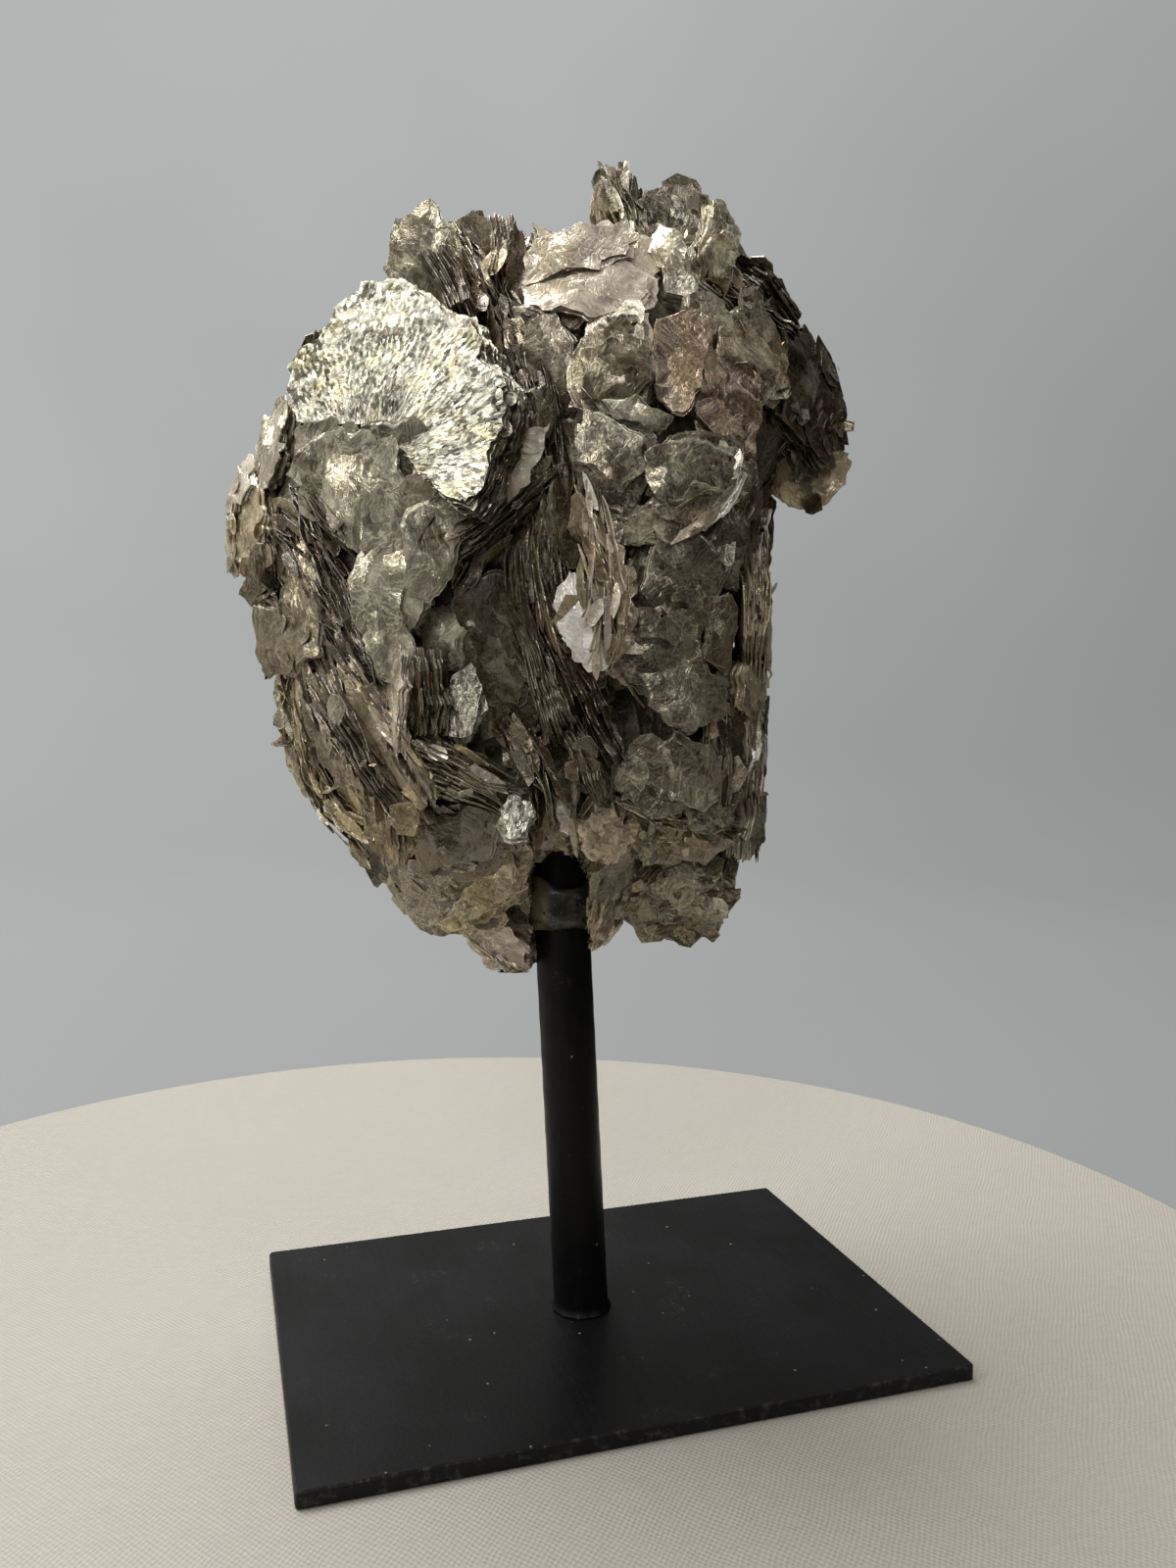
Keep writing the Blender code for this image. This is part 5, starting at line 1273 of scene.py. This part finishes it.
def mica_normal(g, s):
    """Each facet leans its own way, less so on pale sheets and on walls, under fine relief."""
    lean = (s.facets - MIDDLE) * FACET_LEAN[1] + (s.facets_big - MIDDLE) * FACET_LEAN[0]
    lean = lean + (g.cells(s.leaf * SPANGLES, 1.0) - MIDDLE) * g.fit(s.foil, 0, 1, 0.06, 0.74)
    calm = g.fit(s.lightness, 0.30, 0.46, 0.0, 0.65) * (1.0 - s.foil)
    lean = lean * (g.fit(s.edge, 0, 1, 1.0, 0.35) * (1.0 - calm))
    normal = g.add("NewGeometry", "Normal") + lean
    normal = g.add("VectorMath", "Vector", {0: normal}, operation="NORMALIZE")
    height = s.streaks * 0.55 + s.fibres * 0.25 + s.grit * 0.12 + s.wall * s.fine_layers
    return g.bump(height, 0.00045, 0.75, normal)


def mica_material():
    """Muscovite: smoky sheets, rumpled and streaked, crossed by a net of pale hairs and silvery creases,
    painted pale in part as glints.
    """
    g = Graph("mica")
    s = mica_patterns(g)
    lines = mica_lines_and_glints(g, s)
    # Painted glint: the pale colour that the hairs, creases and sheet rims take, standing in part for light
    # caught on them
    painted_glint = s.tone * 1.2 + GLINT
    face = g.mix(lines * g.fit(s.glassy, 0, 1, 0.8, 1.0), mica_face(g, s), painted_glint)
    colour = g.mix(s.wall, face, mica_wall(g, s))
    # Painted highlight: a pale line along the upper rim of each sheet
    rim = g.fit(s.edge, 0.10, RIM) * (1.0 - s.wall)
    colour = g.mix(rim * g.fit(s.grit, 0.35, 0.6, 0.25, 0.85), colour, painted_glint)
    colour = colour * g.fit(s.foil, 0, 1, 1.0, 0.68)
    rough = g.fit(g.split(s.facets, 2), 0, 1, 0.10, 0.22) + g.fit(s.grit, 0.3, 0.7, -0.03, 0.12)
    rough = (rough + s.foil * 0.14 + s.wall * 0.16).clamped()
    shine = s.silver + s.foil * 0.3 + lines * 0.30 + g.fit(g.split(s.facets_big, 2), 0.60, 0.78, 0.0, 0.30)
    shine = (shine * g.fit(s.wall, 0.2, 0.9, 1.0, 0.35)).clamped()
    return g.finish(Base_Color=colour, Roughness=rough, Metallic=shine, Normal=mica_normal(g, s), IOR=2.3,
                    Specular_Tint=WARM_SHINE)


DUST = (0.20, 0.195, 0.18)
LINT = (0.15, 0.145, 0.135)
WORN_STEEL = (0.075, 0.068, 0.060)


def paint_material(name, low, high):
    """Satin black paint on steel: fine orange peel, worn at the plate's edges, with dust and lint."""
    g = Graph(name)
    place = g.place()
    broad = g.noise(place, 0.045, 4, 0.6)
    scuffs = g.noise(place * (0.9, 0.05, 0.4), 1.0, 5, 0.7)
    dust = g.fit(g.cells(place, 0.42, "Distance"), 0.05, 0.13, 1.0, 0.0)
    dust = dust * g.fit(g.split(g.cells(place, 0.42), 0), 0.86, 0.9)
    fine_dust = g.fit(g.noise(place, 3.2, 2, 0.5), 0.70, 0.80, 0.0, 0.35)
    drift = g.noise(place, 0.12, 2, output="Color") * 26.0
    lint = g.fit(abs(g.noise((place + drift) * (0.55, 0.05, 0.5), 1.0, 1) - 0.5), 0.0, 0.010, 1.0, 0.0)
    lint = lint * g.fit(g.noise(place, 0.09, 2), 0.62, 0.70, 0.0, 0.35)
    colour = g.mix(g.fit(broad, 0.3, 0.7), low, high)
    colour = g.mix((dust + fine_dust).clamped(), colour, DUST)
    colour = g.mix(lint, colour, LINT)
    worn = sum(g.fit(abs(g.split(place, k)), half - 0.55, half - 0.05) for k, half in enumerate(PLATE_HALF))
    worn = worn * g.fit(g.noise(place, 0.5, 4, 0.7), 0.50, 0.66)
    colour = g.mix((worn * 0.45).clamped(), colour, WORN_STEEL)
    rough = g.fit(broad, 0.3, 0.7, 0.36, 0.46) + g.fit(scuffs, 0.4, 0.7, -0.03, 0.06) + worn * 0.15
    normal = g.bump(g.noise(place, 1.3, 3, 0.5) + worn * 1.5, 0.00006, 0.7)
    return g.finish(Base_Color=colour, Roughness=rough, Normal=normal, IOR=1.28)


GLUE_DARK = (0.018, 0.017, 0.013)
GLUE_CLOUD = (0.062, 0.057, 0.040)
GLUE_YELLOW = (0.22, 0.18, 0.10)
GLUE_BUBBLE = (0.008, 0.007, 0.006)
GLUE_GRAIN = (0.30, 0.27, 0.20)


def glue_material():
    """Clear glue over the black post: smoky grey, yellowish where it is thick, with bubbles and dust."""
    g = Graph("glue")
    place = g.place()
    clouds = g.noise(place, 0.32, 4, 0.6)
    grain = g.noise(place, 1.8, 3, 0.6)
    holes = g.fit(g.cells(place, 0.75, "Distance"), 0.17, 0.23, 1.0, 0.0)
    holes = holes * g.fit(g.split(g.cells(place, 0.75), 0), 0.52, 0.56)
    aside = abs(g.split(place, 0) - post_axis(GLUE_BOTTOM).x / MM)
    colour = g.mix(g.fit(clouds, 0.36, 0.66), GLUE_DARK, GLUE_CLOUD)
    colour = g.mix(g.fit(aside, 3.4, 5.6) * g.fit(clouds, 0.3, 0.5), colour, GLUE_YELLOW)
    colour = g.mix(holes, colour, GLUE_BUBBLE)
    colour = g.mix(g.fit(grain, 0.62, 0.72, 0.0, 0.45), colour, GLUE_GRAIN)
    normal = g.bump((1.0 - holes) + grain * 0.3, 0.0002, 0.5)
    return g.finish(Base_Color=colour, Roughness=g.fit(clouds, 0.3, 0.7, 0.12, 0.28), Normal=normal, IOR=1.5)


THREADS = (6.4, 5.2)  # how far the waves of warp and weft turn per mm, in radians
SLUB = (0.36, 0.31, 0.24)


def canvas_material():
    """Unbleached canvas: a fine weave with slubs and specks."""
    g = Graph("canvas")
    place = g.place()
    wander = g.noise(place, 0.05, 3, output="Color")
    warp, weft = (g.math("SINE", (g.split(place, k) + g.split(wander, k) * 3.0) * turns)
                  for k, turns in enumerate(THREADS))
    weave = warp * weft
    fibres = g.noise(place * (0.25, 2.0, 1), 1.0, 4, 0.7)
    specks = g.fit(g.noise(place, 0.75, 3, 0.7), 0.71, 0.77, 0.0, 0.6)
    cloth = g.mix(g.fit(g.noise(place, 0.02, 3), 0.3, 0.7), FLOOR_NEAR, FLOOR_FAR)
    cloth = cloth * g.fit(weave, -1, 1, 0.93, 1.04) * g.fit(fibres, 0.3, 0.7, 0.96, 1.04)
    cloth = g.mix(specks, cloth, SLUB)
    return g.finish(Base_Color=cloth, Roughness=0.9, Normal=g.bump(weave, 0.00012, 0.5))


def backdrop_material():
    """Plain grey paper with a painted glow that stands in for the studio light falling on it, lighter to the
    left and above.
    """
    g = Graph("backdrop")
    place = g.add("NewGeometry", "Position")
    side = g.add("VectorMath", "Value", {0: place, 1: BACKDROP_PAINTED_LIGHT_WAY}, operation="DOT_PRODUCT")
    # Painted light: the paper glows more towards the left and above, as if lit from there
    painted_glow = g.fit(side, -1.2, 1.2, *BACKDROP_PAINTED_GLOW) * g.fit(g.noise(place, 1.4, 2), 0.3, 0.7, 0.96, 1.04)
    return g.finish(Base_Color=BACKDROP_GREY, Roughness=0.85, Emission_Color=BACKDROP_TINT,
                    Emission_Strength=painted_glow)


# ---------------------------------------------------------------- the pieces of mica


def region(book):
    """Which piece a book of the front belongs to."""
    x, _, z = book[1]
    if z < LOWER_BELOW:
        return "mica_lower"
    return "mica_left_lobe" if x < LEFT_OF else "mica_right_lobe"


def grow_layered(heap, book, spacing):
    """A book with the loose sheets on its face."""
    grow_loose_sheets(heap, book, grow_book(heap, spacing, *book))


heaps = {name: Heap() for name in ("mica_core", "mica_left_lobe", "mica_right_lobe", "mica_lower",
                                   "mica_back", "mica_back_low", "mica_bundles", "mica_flakes")}
grow_core(heaps["mica_core"])
for book in FRONT_BOOKS:
    grow_layered(heaps[region(book)], book, FACE_SPACING)
for book in SHEETS:
    grow_book(heaps[region(book)], FACE_SPACING, *book)
for rule in RULES:
    for book in rule_books(*rule):
        name = "mica_back" if book[1][2] > BACK_LOW_BELOW else "mica_back_low"
        grow_layered(heaps[name], book, BACK_SPACING)
for bundle in BUNDLES:
    grow_bundle(heaps["mica_bundles"], *bundle)
for flakes in FLAKES:
    grow_flakes(heaps["mica_flakes"], *flakes)

mica = mica_material()
pieces = {name: heap.piece(name, mica) for name, heap in heaps.items()}
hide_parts("mica_crystal")


# ---------------------------------------------------------------- the post, its glue and the plate


def post_axis(height):
    """A point of the leaning post's axis, in metres, at a height over the plate's top."""
    return Vector((POST_FOOT[0] - math.tan(POST_LEAN) * height, POST_FOOT[1], PLATE_THICKNESS + height))


def finished_mesh(name, bm, material):
    """A mesh of one material from its faces."""
    mesh = bpy.data.meshes.new(name)
    bm.to_mesh(mesh)
    bm.free()
    mesh.materials.append(material)
    return mesh


def turned_body(name, profile, material, swell):
    """A body turned about the post's axis from (height, radius) pairs, as one closed piece."""
    bm = bmesh.new()
    rings = []
    for height, radius in profile:
        if radius == 0:
            rings.append([bm.verts.new(post_axis(height))])
            continue
        ring = []
        for i in range(BODY_SIDES):
            angle = math.tau * i / BODY_SIDES
            grow, lift = swell(height, radius, angle)
            reach = radius + grow
            around = Vector((math.cos(angle) * reach, math.sin(angle) * reach, 0))
            ring.append(bm.verts.new(post_axis(height + lift) + around))
        rings.append(ring)
    pairs = list(zip(rings, rings[1:]))
    if len(rings[0]) > 1:
        pairs.append((rings[-1], rings[0]))
    for low, high in pairs:
        for i in range(BODY_SIDES):
            j = (i + 1) % BODY_SIDES
            corners = (low[i % len(low)], low[j % len(low)], high[j % len(high)], high[i % len(high)])
            bm.faces.new(tuple(dict.fromkeys(corners))).smooth = True
    mesh = finished_mesh(name, bm, material)
    mesh.set_sharp_from_angle(angle=math.radians(40))
    obj = new_object(name, mesh)
    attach(obj, "root")
    return obj


def post_swell(height, radius, angle):
    """The lumps of the weld's bead, and the faint unevenness of the brushed paint."""
    if height > 2 * WELD_HEIGHT or radius < 0.8 * POST_RADIUS:
        return (BRUSH_MARKS * math.sin(3 * angle + 900 * height) if radius == POST_RADIUS else 0.0), 0.0
    bead = math.sin(11 * angle + 0.8) + 0.6 * math.sin(23 * angle)
    return -WELD_LUMPS * (1 + 0.6 * bead) * (radius - POST_RADIUS) / WELD_WIDTH, 0.0


def build_post(material):
    """The post with its weld at the foot, up to its end in the mica."""
    weld = [(GAP + WELD_HEIGHT * t, POST_RADIUS + WELD_WIDTH * (1 - t) ** 1.6) for t in np.linspace(0, 1, 7)]
    shaft = [(h, POST_RADIUS) for h in np.linspace(SHAFT_START, POST_LENGTH - POST_EDGE_BREAK, 60)]
    rim = [(POST_LENGTH - POST_EDGE_BREAK * (1 - math.sin(a)),
            POST_RADIUS - POST_EDGE_BREAK * (1 - math.cos(a)))
           for a in np.linspace(0.3, 0.5 * math.pi, 4)]
    profile = [(GAP, 0), *weld, *shaft, *rim, (POST_LENGTH, 0)]
    post = turned_body("post_painted", profile, material, post_swell)
    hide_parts("post")


def glue_swell(height, radius, angle):
    """Globs to the right and left, waves and dimples, as the glue ran and set; its ends climb the mica."""
    share = (height - GLUE_BOTTOM) / (GLUE_TOP - GLUE_BOTTOM)
    wave = GLUE_WAVE * (math.sin(3 * angle + 0.6) + 0.7 * math.sin(5 * angle + 2.0))
    glob = max(0.0, math.cos(angle - GLUE_GLOB_ANGLE)) ** 3
    lump = max(0.0, math.cos(angle - GLUE_LUMP_ANGLE)) ** 4
    lift = 3 * wave * (1 - share) + share * (2 * wave + GLUE_GLOB_CLIMB * glob + GLUE_LUMP_CLIMB * lump)
    if radius == SOCKET_RADIUS:
        return 0.0, lift
    spot = (5 * math.cos(angle), 5 * math.sin(angle), height / MM)
    dimples = float(noise(61, *(np.array(c / GLUE_DIMPLE_SIZE) for c in spot)))
    bulge = math.sin(math.pi * min(max(share, 0), 1))
    swell = wave + (GLUE_GLOB_SWELL * glob + GLUE_LUMP_SWELL * lump) * bulge
    return swell - GLUE_DIMPLES * (1 + dimples), lift


def build_glue(material):
    """The collar of glue round the post, under the mica."""
    outer = SOCKET_RADIUS + GLUE_LIP
    bulge = [(GLUE_BOTTOM + (GLUE_TOP - GLUE_BOTTOM) * t, outer + GLUE_BULGE * math.sin(math.pi * t) ** 0.6)
             for t in np.linspace(0.0, 1.0, 34)]
    profile = [(GLUE_BOTTOM, SOCKET_RADIUS), *bulge, (GLUE_TOP, SOCKET_RADIUS)]
    glue = turned_body("glue_collar", profile, material, glue_swell)
    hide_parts("glue")


build_post(paint_material("post_paint_fine", (0.0018, 0.0018, 0.002), (0.0035, 0.0035, 0.0038)))
build_glue(glue_material())
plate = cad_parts["base_plate"]
plate_paint = paint_material("plate_paint_fine", (0.0035, 0.0035, 0.0037), (0.0065, 0.0065, 0.007))
for slot in plate.material_slots:
    slot.material = plate_paint


# ---------------------------------------------------------------- stage, light and camera


def turned_stage(name, profile, material, centre=(0, 0)):
    """A surface turned about an upright axis from (radius, height) pairs."""
    bm = bmesh.new()
    x, y = centre
    rings = []
    for radius, height in profile:
        rings.append([bm.verts.new((x + radius * math.cos(a), y + radius * math.sin(a), height))
                      for a in np.linspace(0, math.tau, STAGE_SIDES, endpoint=False)])
    bm.faces.new(rings[0])
    for low, high in zip(rings, rings[1:]):
        for i in range(STAGE_SIDES):
            j = (i + 1) % STAGE_SIDES
            bm.faces.new((low[j], low[i], high[i], high[j])).smooth = True
    obj = new_object(name, finished_mesh(name, bm, material))
    return obj


def build_stage():
    """A round canvas floor on a grey one, which curves up into the backdrop."""
    cloth = [(CLOTH_RADIUS + out, height) for out, height in CLOTH_HEM]
    turned_stage("floor", cloth, canvas_material(), CLOTH_CENTRE)
    cove = [(COVE_RADIUS - COVE_BEND + COVE_BEND * math.sin(a), COVE_BEND * (1 - math.cos(a)) - COVE_DROP)
            for a in np.linspace(0, 0.5 * math.pi, 10)]
    wall = turned_stage("backdrop", [*cove, (COVE_RADIUS, COVE_HEIGHT)], backdrop_material())
    wall.visible_diffuse = wall.visible_glossy = wall.visible_shadow = False


def softbox(name, place, size, power):
    """An area light aimed at the specimen."""
    light = bpy.data.lights.new(name, "AREA")
    light.shape = "RECTANGLE"
    light.size, light.size_y = size
    light.energy = power
    obj = new_object(name, light)
    obj.location = place
    obj.rotation_euler = (Vector(LIGHT_AIM) - Vector(place)).to_track_quat("-Z", "Y").to_euler()


def studio_world():
    """The studio's walls: light to the left, behind and above, and dark where the camera stands."""
    world = bpy.data.worlds.new("soft studio")
    world.use_nodes = True
    nodes, links = world.node_tree.nodes, world.node_tree.links
    way = nodes.new("ShaderNodeTexCoord").outputs["Generated"]
    side = nodes.new("ShaderNodeVectorMath")
    side.operation = "DOT_PRODUCT"
    side.inputs[1].default_value = WORLD_LIGHTER
    strength = nodes.new("ShaderNodeMapRange")
    strength.interpolation_type = "SMOOTHSTEP"
    for label, value in zip(("From Min", "From Max", "To Min", "To Max"), (*WORLD_REACH, *WORLD_STRENGTH)):
        strength.inputs[label].default_value = value
    links.new(way, side.inputs[0])
    links.new(side.outputs["Value"], strength.inputs["Value"])
    nodes["Background"].inputs["Color"].default_value = WORLD_COLOUR
    links.new(strength.outputs["Result"], nodes["Background"].inputs["Strength"])
    return world


def place_camera():
    """The photo's own view."""
    data = bpy.data.cameras.new("camera")
    data.lens = CAMERA_LENS
    data.sensor_width = CAMERA_SENSOR
    camera = new_object("camera", data)
    camera.location = CAMERA_PLACE
    camera.rotation_euler = Euler([math.radians(a) for a in CAMERA_TURN], "XYZ")
    bpy.context.scene.camera = camera


build_stage()
for light in SOFTBOXES:
    softbox(*light)
bpy.context.scene.world = studio_world()
bpy.context.scene.view_settings.view_transform = "Standard"
place_camera()
